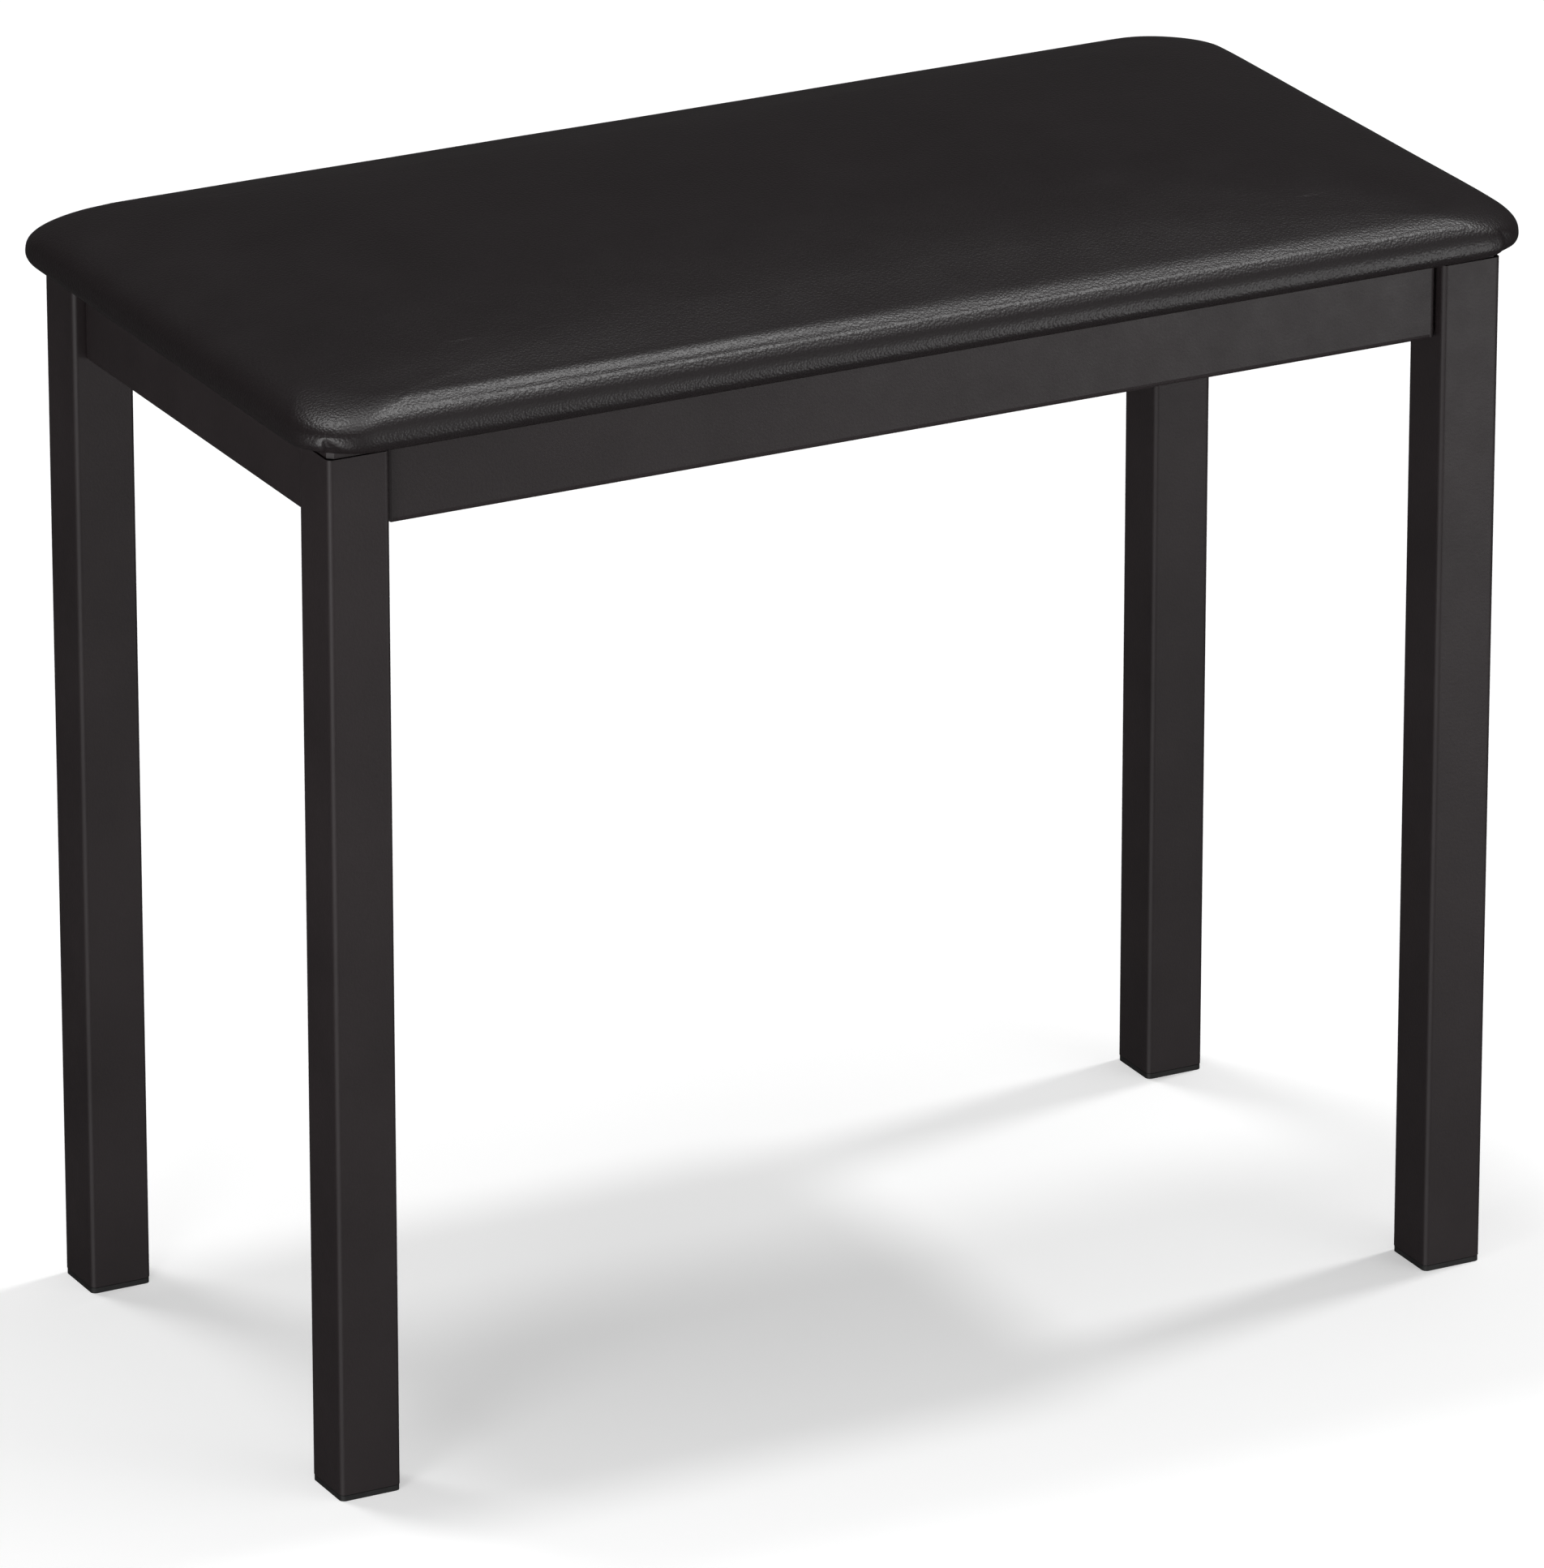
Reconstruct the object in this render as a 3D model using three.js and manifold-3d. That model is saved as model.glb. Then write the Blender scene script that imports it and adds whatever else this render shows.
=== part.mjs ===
// A fixed-height keyboard bench: four square steel tube legs, four folded sheet steel rails that bolt
// to the legs, and an upholstered seat pad that is bolted up from a plate on top of each leg.
// Millimetres, +Z up. X runs along the bench, the front is -Y, and the origin is on the floor, under
// the middle of the seat.

import * as THREE from "three";
import { mergeVertices } from "three/addons/utils/BufferGeometryUtils.js";
import Module from "manifold-3d";

// ---------- driving dimensions ----------

const GAP = 0.3; // between pieces that touch, for paint and fit
const CORNERS = [
  { name: "front_left", signX: -1, signY: -1 },
  { name: "front_right", signX: 1, signY: -1 },
  { name: "rear_left", signX: -1, signY: 1 },
  { name: "rear_right", signX: 1, signY: 1 },
];

// The frame. The seat rests at its top, and its length and width are over the outsides of the legs.
const FRAME = { lengthX: 550, widthY: 274, top: 464 };
const LEG = { side: 28, wall: 1.2, cornerRadius: 2.4 };
const FOOT = { base: 2.4, inset: 0.15, bodyHeight: 18, bodyWall: 2, rib: 0.35, ribHeight: 2 };
const PLATE = { thickness: 3, setBack: 0.8, reach: 58, inner: 20.5, chamfer: 20, holeAt: 42 };
const RAIL = {
  height: 37, // of the face that shows
  recess: 5, // from the legs' outer faces
  sheet: 1.5,
  bend: 2.6, // outer radius of every fold
  topFlange: 14,
  bottomFlange: 10,
  tab: 21, // how far an end tab reaches in from the rail's face
  relief: 3, // length at each end with no flange
  tabRaise: 1.2, // of the end tabs' lower edges above the rail's underside
};

// Fasteners: M6 button-head bolts throughout. inset is from the leg's outer face.
const BOLT = { radius: 3, tip: 0.8, headRadius: 5.25, headHeight: 3.3 };
const SOCKET = { flats: 4, depth: 2 };
const BOLT_HOLE = 3.4;
const RAIL_BOLT = { length: 12.5, inset: 16, longRailZ: 452, sideRailZ: 437 };
const SEAT_BOLT = { length: 14.2 };
const WASHER = { inner: 3.25, outer: 6, thickness: 1.4 };
const WELD_NUT = { flats: 10, thickness: 5, bore: 3.3 };
const T_NUT = { flange: 9, flangeThickness: 1.2, barrel: 3.9, length: 8, bore: 3.3 };

// The seat pad, as the outer surface of its cover. A ring of the pad is its outline at one height.
const PAD = {
  lengthX: 576,
  widthY: 302,
  cornerRadius: 26,
  wall: 5, // height of the upright edge
  shoulderInset: 42, // how far in the rounded shoulder reaches
  shoulderHeight: 24, // of the shoulder's top above the underside
  shoulderExponent: 2.45, // 2 is an ellipse, and more is squarer
  cornerOpening: 1.5, // how much the corner radius grows with each millimetre of inset
  crown: 12.3, // rise from the shoulder to the middle
};
// The cover is stapled under the board across a margin, round an opening with small corners.
const COVER = { thickness: 1.2, margin: 24, openingRadius: 8 };
const BOARD = { thickness: 9, inset: 3.4, cornerRadius: 28 };
const DUST_COVER = { thickness: 0.6 };

const CURVE_SEGMENTS = 4; // segments in a quarter turn of a small radius
const ROUND_SIDES = 12; // sides of a bolt, nut or washer
const PAD_CORNER_STEPS = 6; // segments in a quarter turn of the pad's outline

// ---------- materials ----------

const material = (color, roughness, metalness = 0) =>
  new THREE.MeshStandardMaterial({ color, roughness, metalness });

const BLACK_PAINT = material(0x2e2a2b, 0.5, 0.1);
const BLACK_VINYL = material(0x262223, 0.42);
const BLACK_PLASTIC = material(0x1c1b1b, 0.6);
const BLACK_CLOTH = material(0x1a1a1a, 0.95);
const BLACK_OXIDE = material(0x2a2a2c, 0.4, 0.9);
const ZINC = material(0xb8bcc0, 0.35, 0.9);
const PLYWOOD = material(0xc49a64, 0.75);
const FOAM = material(0xe3d9b8, 0.95);

// ---------- solids ----------

const wasm = await Module();
wasm.setup();

// A closed three.js geometry as a solid that can be cut and joined.
function toSolid(geometry) {
  const bare = geometry.clone();
  bare.deleteAttribute("normal");
  bare.deleteAttribute("uv");
  const merged = mergeVertices(bare, 1e-4);
  return new wasm.Manifold(
    new wasm.Mesh({
      numProp: 3,
      vertProperties: merged.attributes.position.array,
      triVerts: new Uint32Array(merged.index.array),
    }),
  );
}

function toGeometry(solid) {
  const { vertProperties, triVerts } = solid.getMesh();
  const geometry = new THREE.BufferGeometry();
  geometry.setAttribute("position", new THREE.BufferAttribute(vertProperties, 3));
  geometry.setIndex(new THREE.BufferAttribute(triVerts, 1));
  geometry.computeVertexNormals();
  return geometry;
}

function join(first, ...others) {
  return toGeometry(others.reduce((sum, g) => sum.add(toSolid(g)), toSolid(first)));
}

function cut(body, ...tools) {
  return toGeometry(tools.reduce((rest, g) => rest.subtract(toSolid(g)), toSolid(body)));
}

function piece(name, geometry, finish) {
  const mesh = new THREE.Mesh(geometry, finish);
  mesh.name = name;
  return mesh;
}

// ---------- shape helpers ----------

// A rectangle with round corners, centred on (x, y).
function roundedRectangle(width, height, radius, x = 0, y = 0, shape = new THREE.Shape()) {
  const [w, h] = [width / 2 - radius, height / 2 - radius];
  const quarter = Math.PI / 2;
  shape.moveTo(x + w + radius, y - h);
  shape.absarc(x + w, y + h, radius, 0, quarter, false);
  shape.absarc(x - w, y + h, radius, quarter, 2 * quarter, false);
  shape.absarc(x - w, y - h, radius, 2 * quarter, 3 * quarter, false);
  shape.absarc(x + w, y - h, radius, 3 * quarter, 4 * quarter, false);
  return shape;
}

// A shape in X and Y, made solid from height z0 to z1.
function extrude(shape, z0, z1, curveSegments = CURVE_SEGMENTS) {
  const options = { depth: z1 - z0, bevelEnabled: false, curveSegments };
  return new THREE.ExtrudeGeometry(shape, options).translate(0, 0, z0);
}

// An axis-aligned block between two corners.
function block([x0, y0, z0], [x1, y1, z1]) {
  return new THREE.BoxGeometry(x1 - x0, y1 - y0, z1 - z0).translate(
    (x0 + x1) / 2,
    (y0 + y1) / 2,
    (z0 + z1) / 2,
  );
}

// A cylinder up the Z axis from z0 to z1.
function rod(radius, z0, z1, sides = ROUND_SIDES) {
  const upright = new THREE.CylinderGeometry(radius, radius, z1 - z0, sides);
  return upright.rotateX(Math.PI / 2).translate(0, 0, (z0 + z1) / 2);
}

// Turns a profile of [radius, z] points round the Z axis.
function turned(profile, sides = ROUND_SIDES) {
  const points = profile.map(([r, z]) => new THREE.Vector2(r, z));
  return new THREE.LatheGeometry(points, sides).rotateX(Math.PI / 2);
}

// The constant-thickness sheet that follows a line of [x, y] points with its folds rounded. The line is
// the sheet's outer face, and the sheet lies to the left of it.
function foldedSheet(line, thickness, bend) {
  const outer = [];
  const inner = [];
  const at = line.map(([x, y]) => new THREE.Vector2(x, y));
  const leftOf = (a, b) => new THREE.Vector2(a.y - b.y, b.x - a.x).normalize();
  const ends = (p, normal) => {
    outer.push(p.clone());
    inner.push(p.clone().addScaledVector(normal, thickness));
  };
  ends(at[0], leftOf(at[0], at[1]));
  for (let i = 1; i < at.length - 1; i += 1) {
    const before = leftOf(at[i - 1], at[i]);
    const after = leftOf(at[i], at[i + 1]);
    const centre = at[i].clone().addScaledVector(before, bend).addScaledVector(after, bend);
    for (let k = 0; k <= CURVE_SEGMENTS; k += 1) {
      const angle = ((Math.PI / 2) * k) / CURVE_SEGMENTS;
      const spoke = before.clone().multiplyScalar(-Math.cos(angle));
      spoke.addScaledVector(after, -Math.sin(angle));
      outer.push(centre.clone().addScaledVector(spoke, bend));
      inner.push(centre.clone().addScaledVector(spoke, bend - thickness));
    }
  }
  const [beforeLast, last] = at.slice(-2);
  ends(last, leftOf(beforeLast, last));
  return new THREE.Shape([...outer, ...inner.reverse()]);
}

// A closed skin through rings of points, each [x, y, z] and all with the same number of points,
// with a flat cap over the first and the last ring.
function loft(rings) {
  const count = rings[0].length;
  const indices = [];
  for (let ring = 0; ring < rings.length - 1; ring += 1) {
    for (let i = 0; i < count; i += 1) {
      const [a, b] = [ring * count + i, ring * count + ((i + 1) % count)];
      indices.push(a, b, b + count, a, b + count, a + count);
    }
  }
  const capOf = (ring) =>
    THREE.ShapeUtils.triangulateShape(
      ring.map(([x, y]) => new THREE.Vector2(x, y)),
      [],
    );
  const last = (rings.length - 1) * count;
  capOf(rings[0]).forEach(([a, b, c]) => indices.push(a, c, b));
  capOf(rings.at(-1)).forEach(([a, b, c]) => indices.push(last + a, last + b, last + c));
  const geometry = new THREE.BufferGeometry();
  geometry.setAttribute("position", new THREE.Float32BufferAttribute(rings.flat(2), 3));
  geometry.setIndex(indices);
  geometry.computeVertexNormals();
  return geometry;
}

// ---------- fasteners, each up the Z axis with the underside of its head at z = 0 ----------

// The shank points up and the head hangs below it.
function buttonHeadBolt(length) {
  const { radius, tip, headRadius, headHeight } = BOLT;
  const body = turned([
    [0, -headHeight],
    [headRadius * 0.55, -headHeight],
    [headRadius * 0.9, -headHeight * 0.55],
    [headRadius, 0],
    [radius, 0],
    [radius, length - tip],
    [radius - tip, length],
    [0, length],
  ]);
  const socket = rod(SOCKET.flats / Math.sqrt(3), -headHeight - 1, SOCKET.depth - headHeight, 6);
  return cut(body, socket);
}

function washer() {
  const { inner, outer, thickness } = WASHER;
  return turned([
    [inner, 0],
    [outer, 0],
    [outer, thickness],
    [inner, thickness],
    [inner, 0],
  ]);
}

function weldNut() {
  const { flats, thickness, bore } = WELD_NUT;
  const hexagon = rod(flats / Math.sqrt(3), 0, thickness, 6);
  return cut(hexagon, rod(bore, -1, thickness + 1));
}

// The flange is on top and the barrel hangs down from it.
function teeNut() {
  const { flange, flangeThickness, barrel, length, bore } = T_NUT;
  return turned([
    [bore, -length],
    [barrel, -length],
    [barrel, -flangeThickness],
    [flange, -flangeThickness],
    [flange, 0],
    [bore, 0],
    [bore, -length],
  ]);
}

// ---------- one corner: leg, foot, plate and bolts ----------
// Local X and Y run inwards from the leg's outer corner, and Z is up from the floor.

const LEG_BOTTOM = FOOT.base + GAP;
const PLATE_BOTTOM = FRAME.top - PLATE.thickness;
const LEG_TOP = PLATE_BOTTOM - GAP;

function legTube() {
  const { side, wall, cornerRadius } = LEG;
  const [half, inside] = [side / 2, side - 2 * wall];
  const section = roundedRectangle(side, side, cornerRadius, half, half);
  section.holes.push(
    roundedRectangle(inside, inside, cornerRadius - wall, half, half, new THREE.Path()),
  );
  const throughX = rod(BOLT_HOLE, side - 2 * wall, side + 1).rotateY(Math.PI / 2);
  const throughY = rod(BOLT_HOLE, side - 2 * wall, side + 1).rotateX(-Math.PI / 2);
  return cut(
    extrude(section, LEG_BOTTOM, LEG_TOP),
    throughX.translate(0, RAIL_BOLT.inset, RAIL_BOLT.longRailZ),
    throughY.translate(RAIL_BOLT.inset, 0, RAIL_BOLT.sideRailZ),
  );
}

// A plastic plug: a base as wide as the leg, and a hollow ribbed body that grips inside the tube.
function footPlug() {
  const { side, wall, cornerRadius } = LEG;
  const { base, inset, bodyHeight, bodyWall, rib, ribHeight } = FOOT;
  const half = side / 2;
  const ribSide = side - 2 * wall - 2 * GAP;
  const bodySide = ribSide - 2 * rib;
  const square = (width, radius) => roundedRectangle(width, width, radius, half, half);
  const floor = extrude(square(side - 2 * inset, cornerRadius), 0, base);
  const body = extrude(square(bodySide, 1), base - 0.1, base + bodyHeight, 1);
  const ribs = [0.35, 0.75].map((share) => {
    const z = base + share * bodyHeight;
    return extrude(square(ribSide, 1), z, z + ribHeight, 1);
  });
  const hollow = bodySide / 2 - bodyWall;
  const core = block(
    [half - hollow, half - hollow, base],
    [half + hollow, half + hollow, base + bodyHeight + 1],
  );
  return cut(join(floor, body, ...ribs), core);
}

// The plate is welded on the leg's top, set back from its faces, and reaches in diagonally, inside
// the rails' top flanges, to the bolt that holds the seat.
function legPlate() {
  const { thickness, setBack, reach, inner, chamfer, holeAt } = PLATE;
  const side = LEG.side - setBack;
  const outline = new THREE.Shape()
    .moveTo(setBack + LEG.cornerRadius, setBack)
    .lineTo(side, setBack)
    .lineTo(side, inner)
    .lineTo(reach, inner)
    .lineTo(reach, reach - chamfer)
    .lineTo(reach - chamfer, reach)
    .lineTo(inner, reach)
    .lineTo(inner, side)
    .lineTo(setBack, side)
    .lineTo(setBack, setBack + LEG.cornerRadius);
  outline.holes.push(new THREE.Path().absarc(holeAt, holeAt, BOLT_HOLE, 0, 2 * Math.PI, false));
  return extrude(outline, PLATE_BOTTOM, PLATE_BOTTOM + thickness, ROUND_SIDES / 2);
}

// A bolt through a rail's end tab and the weld nut it screws into, in a group whose Z axis points
// from the rail into the leg and whose origin is on the leg's inner face.
function railJoint(railName, cornerName, position, turn) {
  const group = new THREE.Group();
  const bolt = piece(
    `${railName}_bolt_${cornerName}`,
    buttonHeadBolt(RAIL_BOLT.length),
    BLACK_OXIDE,
  );
  const nut = piece(`${railName}_weld_nut_${cornerName}`, weldNut(), ZINC);
  bolt.position.z = -(GAP + RAIL.sheet + GAP);
  nut.position.z = LEG.wall + GAP;
  group.add(bolt, nut);
  group.position.set(...position);
  group.rotation.set(...turn);
  return group;
}

// The bolt and washer under a leg plate, and the tee nut in the seat board that they pull on.
function seatJoint(cornerName) {
  const group = new THREE.Group();
  const bolt = piece(`seat_bolt_${cornerName}`, buttonHeadBolt(SEAT_BOLT.length), BLACK_OXIDE);
  const ring = piece(`seat_washer_${cornerName}`, washer(), ZINC);
  const nut = piece(`tee_nut_${cornerName}`, teeNut(), ZINC);
  ring.position.z = PLATE_BOTTOM - GAP - WASHER.thickness;
  bolt.position.z = ring.position.z - GAP;
  nut.position.z = BOARD_TOP;
  group.add(bolt, ring, nut);
  group.position.set(PLATE.holeAt, PLATE.holeAt, 0);
  return group;
}

function corner({ name, signX, signY }) {
  const group = new THREE.Group();
  const { side } = LEG;
  const { inset, longRailZ, sideRailZ } = RAIL_BOLT;
  group.add(
    piece(`leg_${name}`, legTube(), BLACK_PAINT),
    piece(`foot_${name}`, footPlug(), BLACK_PLASTIC),
    piece(`leg_plate_${name}`, legPlate(), BLACK_PAINT),
    railJoint("long_rail", name, [side, inset, longRailZ], [0, -Math.PI / 2, 0]),
    railJoint("side_rail", name, [inset, side, sideRailZ], [Math.PI / 2, 0, 0]),
    seatJoint(name),
  );
  group.position.set((signX * FRAME.lengthX) / 2, (signY * FRAME.widthY) / 2, 0);
  group.scale.set(-signX, -signY, 1);
  return group;
}

// ---------- rails ----------

// A rail lies along local X with its outer face on y = 0, facing -Y. Its face and end tabs are one
// strip folded at each end, and its flanges are folded in along the top and the bottom.
function rail(length, boltZ) {
  const { height, sheet, bend, topFlange, bottomFlange, tab, relief, tabRaise } = RAIL;
  const [half, flat] = [length / 2, length / 2 - relief];
  const [bottom, top] = [FRAME.top - height, FRAME.top];
  const strip = extrude(
    foldedSheet([[-half, tab], [-half, 0], [half, 0], [half, tab]], sheet, bend),
    bottom + tabRaise,
    top,
  );
  // Where the flanges are, the strip stops at the folds. The tabs stop under the leg plates.
  const strippedTop = block([-flat, -1, top - bend], [flat, sheet + 1, top + 1]);
  const strippedBottom = block([-flat, -1, bottom - 1], [flat, sheet + 1, bottom + bend]);
  const tabTops = block([-half - 1, bend, PLATE_BOTTOM - GAP], [half + 1, tab + 1, top + 1]);
  const section = foldedSheet(
    [[topFlange, top], [0, top], [0, bottom], [bottomFlange, bottom]],
    sheet,
    bend,
  );
  // The section is drawn in Y and Z, and runs along X.
  const toXAxis = new THREE.Matrix4().makeBasis(
    new THREE.Vector3(0, 1, 0),
    new THREE.Vector3(0, 0, 1),
    new THREE.Vector3(1, 0, 0),
  );
  const channel = extrude(section, -flat, flat).applyMatrix4(toXAxis);
  const boltHole = rod(BOLT_HOLE, -half - 1, half + 1).rotateY(Math.PI / 2);
  const folded = join(cut(strip, strippedTop, strippedBottom, tabTops), channel);
  return cut(folded, boltHole.translate(0, RAIL_BOLT.inset - RAIL.recess, boltZ));
}

// distance is over the outsides of the legs, across the bench from this rail to the one opposite.
function placedRail(name, length, boltZ, distance, turn) {
  const mesh = piece(name, rail(length, boltZ), BLACK_PAINT);
  const away = distance / 2 - RAIL.recess;
  mesh.rotation.z = turn;
  mesh.position.set(Math.sin(turn) * away, -Math.cos(turn) * away, 0);
  return mesh;
}

function rails() {
  const between = 2 * (LEG.side + GAP);
  const long = FRAME.lengthX - between;
  const short = FRAME.widthY - between;
  const { longRailZ, sideRailZ } = RAIL_BOLT;
  return [
    placedRail("rail_front", long, longRailZ, FRAME.widthY, 0),
    placedRail("rail_rear", long, longRailZ, FRAME.widthY, Math.PI),
    placedRail("rail_left", short, sideRailZ, FRAME.lengthX, -Math.PI / 2),
    placedRail("rail_right", short, sideRailZ, FRAME.lengthX, Math.PI / 2),
  ];
}

// ---------- seat pad ----------

function seatBoltCentres() {
  const x = FRAME.lengthX / 2 - PLATE.holeAt;
  const y = FRAME.widthY / 2 - PLATE.holeAt;
  return CORNERS.map(({ signX, signY }) => [signX * x, signY * y]);
}

const COVER_BOTTOM = FRAME.top + GAP;
const BOARD_BOTTOM = COVER_BOTTOM + COVER.thickness + GAP;
const BOARD_TOP = BOARD_BOTTOM + BOARD.thickness;

// The points round the pad at an inset from its outermost outline, all at height z.
function padRing(inset, z, radius) {
  const [halfX, halfY] = [PAD.lengthX / 2 - inset, PAD.widthY / 2 - inset];
  const r = Math.min(Math.max(radius, 1), halfY - 2);
  const ring = [];
  const centres = [[1, 1], [-1, 1], [-1, -1], [1, -1]];
  centres.forEach(([signX, signY], quarter) => {
    for (let k = 0; k <= PAD_CORNER_STEPS; k += 1) {
      const angle = (Math.PI / 2) * (quarter + k / PAD_CORNER_STEPS);
      const x = signX * (halfX - r) + r * Math.cos(angle);
      const y = signY * (halfY - r) + r * Math.sin(angle);
      ring.push([x, y, z]);
    }
  });
  return ring;
}

// Height of the pad's skin above the pad's underside, at a share of the shoulder's inset.
function shoulderRise(share) {
  const n = PAD.shoulderExponent;
  const curve = (1 - (1 - share) ** n) ** (1 / n);
  return PAD.wall + (PAD.shoulderHeight - PAD.wall) * curve;
}

// Where the pad's rings lie: shares of the shoulder's inset, then of the way across its crown.
const SHOULDER_SHARES = [0, 0.02, 0.08, 0.2, 0.42, 0.7, 1];
const CROWN_SHARES = [0.25, 0.55, 0.85];

// Rings up the pad's edge, over its shoulder and in across its crown, shrunk inwards by an offset.
function padRings(offset, bottom) {
  const radius = (inset) => PAD.cornerRadius + PAD.cornerOpening * inset - offset;
  const rings = [padRing(offset, bottom, radius(0))];
  for (const share of SHOULDER_SHARES) {
    const inset = share * PAD.shoulderInset;
    const z = FRAME.top + shoulderRise(share) - offset;
    rings.push(padRing(offset + inset, z, radius(inset)));
  }
  const across = PAD.widthY / 2 - PAD.shoulderInset;
  for (const share of CROWN_SHARES) {
    const inset = PAD.shoulderInset + share * across;
    const rise = PAD.shoulderHeight + PAD.crown * (1 - (1 - share) ** 2);
    rings.push(padRing(offset + inset, FRAME.top + rise - offset, radius(PAD.shoulderInset)));
  }
  return rings;
}

// The cover runs over the pad, round the board's edge, and in under the board by its margin.
function seatCover() {
  const { thickness, margin, openingRadius } = COVER;
  const under = COVER_BOTTOM + thickness;
  const inside = padRings(thickness, under).reverse();
  const outside = padRings(0, COVER_BOTTOM);
  const lip = [under, COVER_BOTTOM].map((z) => padRing(margin, z, openingRadius));
  return loft([...inside, ...lip, ...outside]);
}

function seatFoam() {
  const offset = COVER.thickness + GAP;
  const base = BOARD_TOP + GAP;
  const above = padRings(offset, base).filter(([[, , z]]) => z > base + 1);
  return loft([padRing(BOARD.inset + GAP, base, BOARD.cornerRadius), ...above]);
}

function seatBoard() {
  const { inset, cornerRadius } = BOARD;
  const [width, depth] = [PAD.lengthX - 2 * inset, PAD.widthY - 2 * inset];
  const slab = extrude(roundedRectangle(width, depth, cornerRadius), BOARD_BOTTOM, BOARD_TOP, 6);
  const flangeFloor = BOARD_TOP - T_NUT.flangeThickness - GAP;
  const holes = seatBoltCentres().flatMap(([x, y]) => [
    rod(T_NUT.barrel + GAP, BOARD_BOTTOM - 1, BOARD_TOP + 1).translate(x, y, 0),
    rod(T_NUT.flange + GAP, flangeFloor, BOARD_TOP + 1).translate(x, y, 0),
  ]);
  return cut(slab, ...holes);
}

// Black non-woven cloth inside the cover's margin, with a hole where each seat bolt passes.
function dustCover() {
  const margin = COVER.margin + GAP;
  const [width, depth] = [PAD.lengthX - 2 * margin, PAD.widthY - 2 * margin];
  const sheet = roundedRectangle(width, depth, COVER.openingRadius);
  for (const [x, y] of seatBoltCentres()) {
    sheet.holes.push(new THREE.Path().absarc(x, y, BOLT_HOLE + GAP, 0, 2 * Math.PI, false));
  }
  return extrude(sheet, COVER_BOTTOM, COVER_BOTTOM + DUST_COVER.thickness);
}

// ---------- the bench ----------

const bench = new THREE.Group();
bench.add(
  ...CORNERS.map(corner),
  ...rails(),
  piece("seat_cover", seatCover(), BLACK_VINYL),
  piece("seat_foam", seatFoam(), FOAM),
  piece("seat_board", seatBoard(), PLYWOOD),
  piece("dust_cover", dustCover(), BLACK_CLOTH),
);

export default bench;
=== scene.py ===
"""Looks of a piano bench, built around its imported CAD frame. Lengths are in metres."""

import math

import bmesh
import bpy
import numpy as np
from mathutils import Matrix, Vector, noise


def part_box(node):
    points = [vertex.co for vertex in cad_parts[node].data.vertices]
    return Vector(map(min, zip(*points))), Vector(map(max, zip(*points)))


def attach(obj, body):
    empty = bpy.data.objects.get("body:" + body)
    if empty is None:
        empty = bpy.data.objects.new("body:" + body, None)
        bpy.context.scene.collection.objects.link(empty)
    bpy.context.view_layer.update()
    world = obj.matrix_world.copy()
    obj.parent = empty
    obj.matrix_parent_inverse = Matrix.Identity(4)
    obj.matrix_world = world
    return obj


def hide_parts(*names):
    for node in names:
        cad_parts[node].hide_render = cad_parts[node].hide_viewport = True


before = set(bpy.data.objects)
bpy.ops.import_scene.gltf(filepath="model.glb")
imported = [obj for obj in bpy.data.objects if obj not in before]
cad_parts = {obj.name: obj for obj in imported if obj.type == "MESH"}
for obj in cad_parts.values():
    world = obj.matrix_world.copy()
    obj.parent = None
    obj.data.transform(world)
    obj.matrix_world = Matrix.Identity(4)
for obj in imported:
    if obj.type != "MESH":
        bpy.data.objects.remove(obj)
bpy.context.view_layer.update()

MM = 0.001
CORNERS = {
    "front_left": (-1, -1),
    "front_right": (1, -1),
    "rear_left": (-1, 1),
    "rear_right": (1, 1),
}

# ---------- the pad's shape ----------

pad_low, pad_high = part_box("seat_cover")
PAD_HALF = (pad_high.x, pad_high.y)  # half the cover's length and width
PAD_BOTTOM = pad_low.z
COVER_THICKNESS = 1.2 * MM
MARGIN = 24 * MM  # how far the cover runs in under the board
UNDER_EDGE = 7 * MM  # radius of the edge between the underside and the wall
WALL_TOP = 7.8 * MM  # where the wall ends and the shoulder begins, above the underside
SHOULDER_RISE = 10.1 * MM  # from the wall's top to the shoulder's
SHOULDER_REACH = 20 * MM  # from the outline to the shoulder's inner end
SHOULDER_EXPONENT = 2.45  # 2 is an ellipse, and more is squarer
CROWN = 17.4 * MM  # how much higher the pad is in its middle
CORNER_RADIUS = 27 * MM
CORNER_OPENING = 0.4  # growth of the plan's corner radius with the inset
DROOP = 0.1  # share of its height that the skin loses where it is pulled down at a corner
DROOP_NEAR, DROOP_FAR = 8 * MM, 50 * MM  # from the corner's point, where that is full and where nil
RING_REACH = 45 * MM  # the rings end here, and a grid fills the top inside them
SWELL_ROOM = 0.9 * MM  # the skin starts this much smaller, because it swells
SHRINK_FAR, SHRINK_NEAR = 60 * MM, 10 * MM  # from a side, where that shrinking is nil and where full
HELD_HEIGHT = 0.8 * WALL_TOP  # the skin keeps its place below this height above the underside

# Spacing of the rings on the margin, round the lower edge, up the side to FINE_INSET, and on the top.
MARGIN_STEP, EDGE_STEP, FINE_STEP, TOP_STEP = 5 * MM, 1.6 * MM, 1.4 * MM, 4 * MM
FINE_INSET = 17 * MM
EVEN_INSET = 8 * MM  # from this inset on, the points spread ever more evenly round their ring
TOP_PLACE = 10 * MM  # the top's points count as this far past the last ring along the cross-section

# Numbers of faces in half a short side, a corner and half a long side of each ring.
SHORT_STEPS, CORNER_STEPS, LONG_STEPS = 16, 32, 33
QUARTER_STEPS = SHORT_STEPS + CORNER_STEPS + LONG_STEPS
RING_STEPS = 4 * QUARTER_STEPS
SECTION_POINTS = 1500  # of the cross-section from the wall to the last ring
HALVINGS = 40  # in the search for a point's inset


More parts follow.
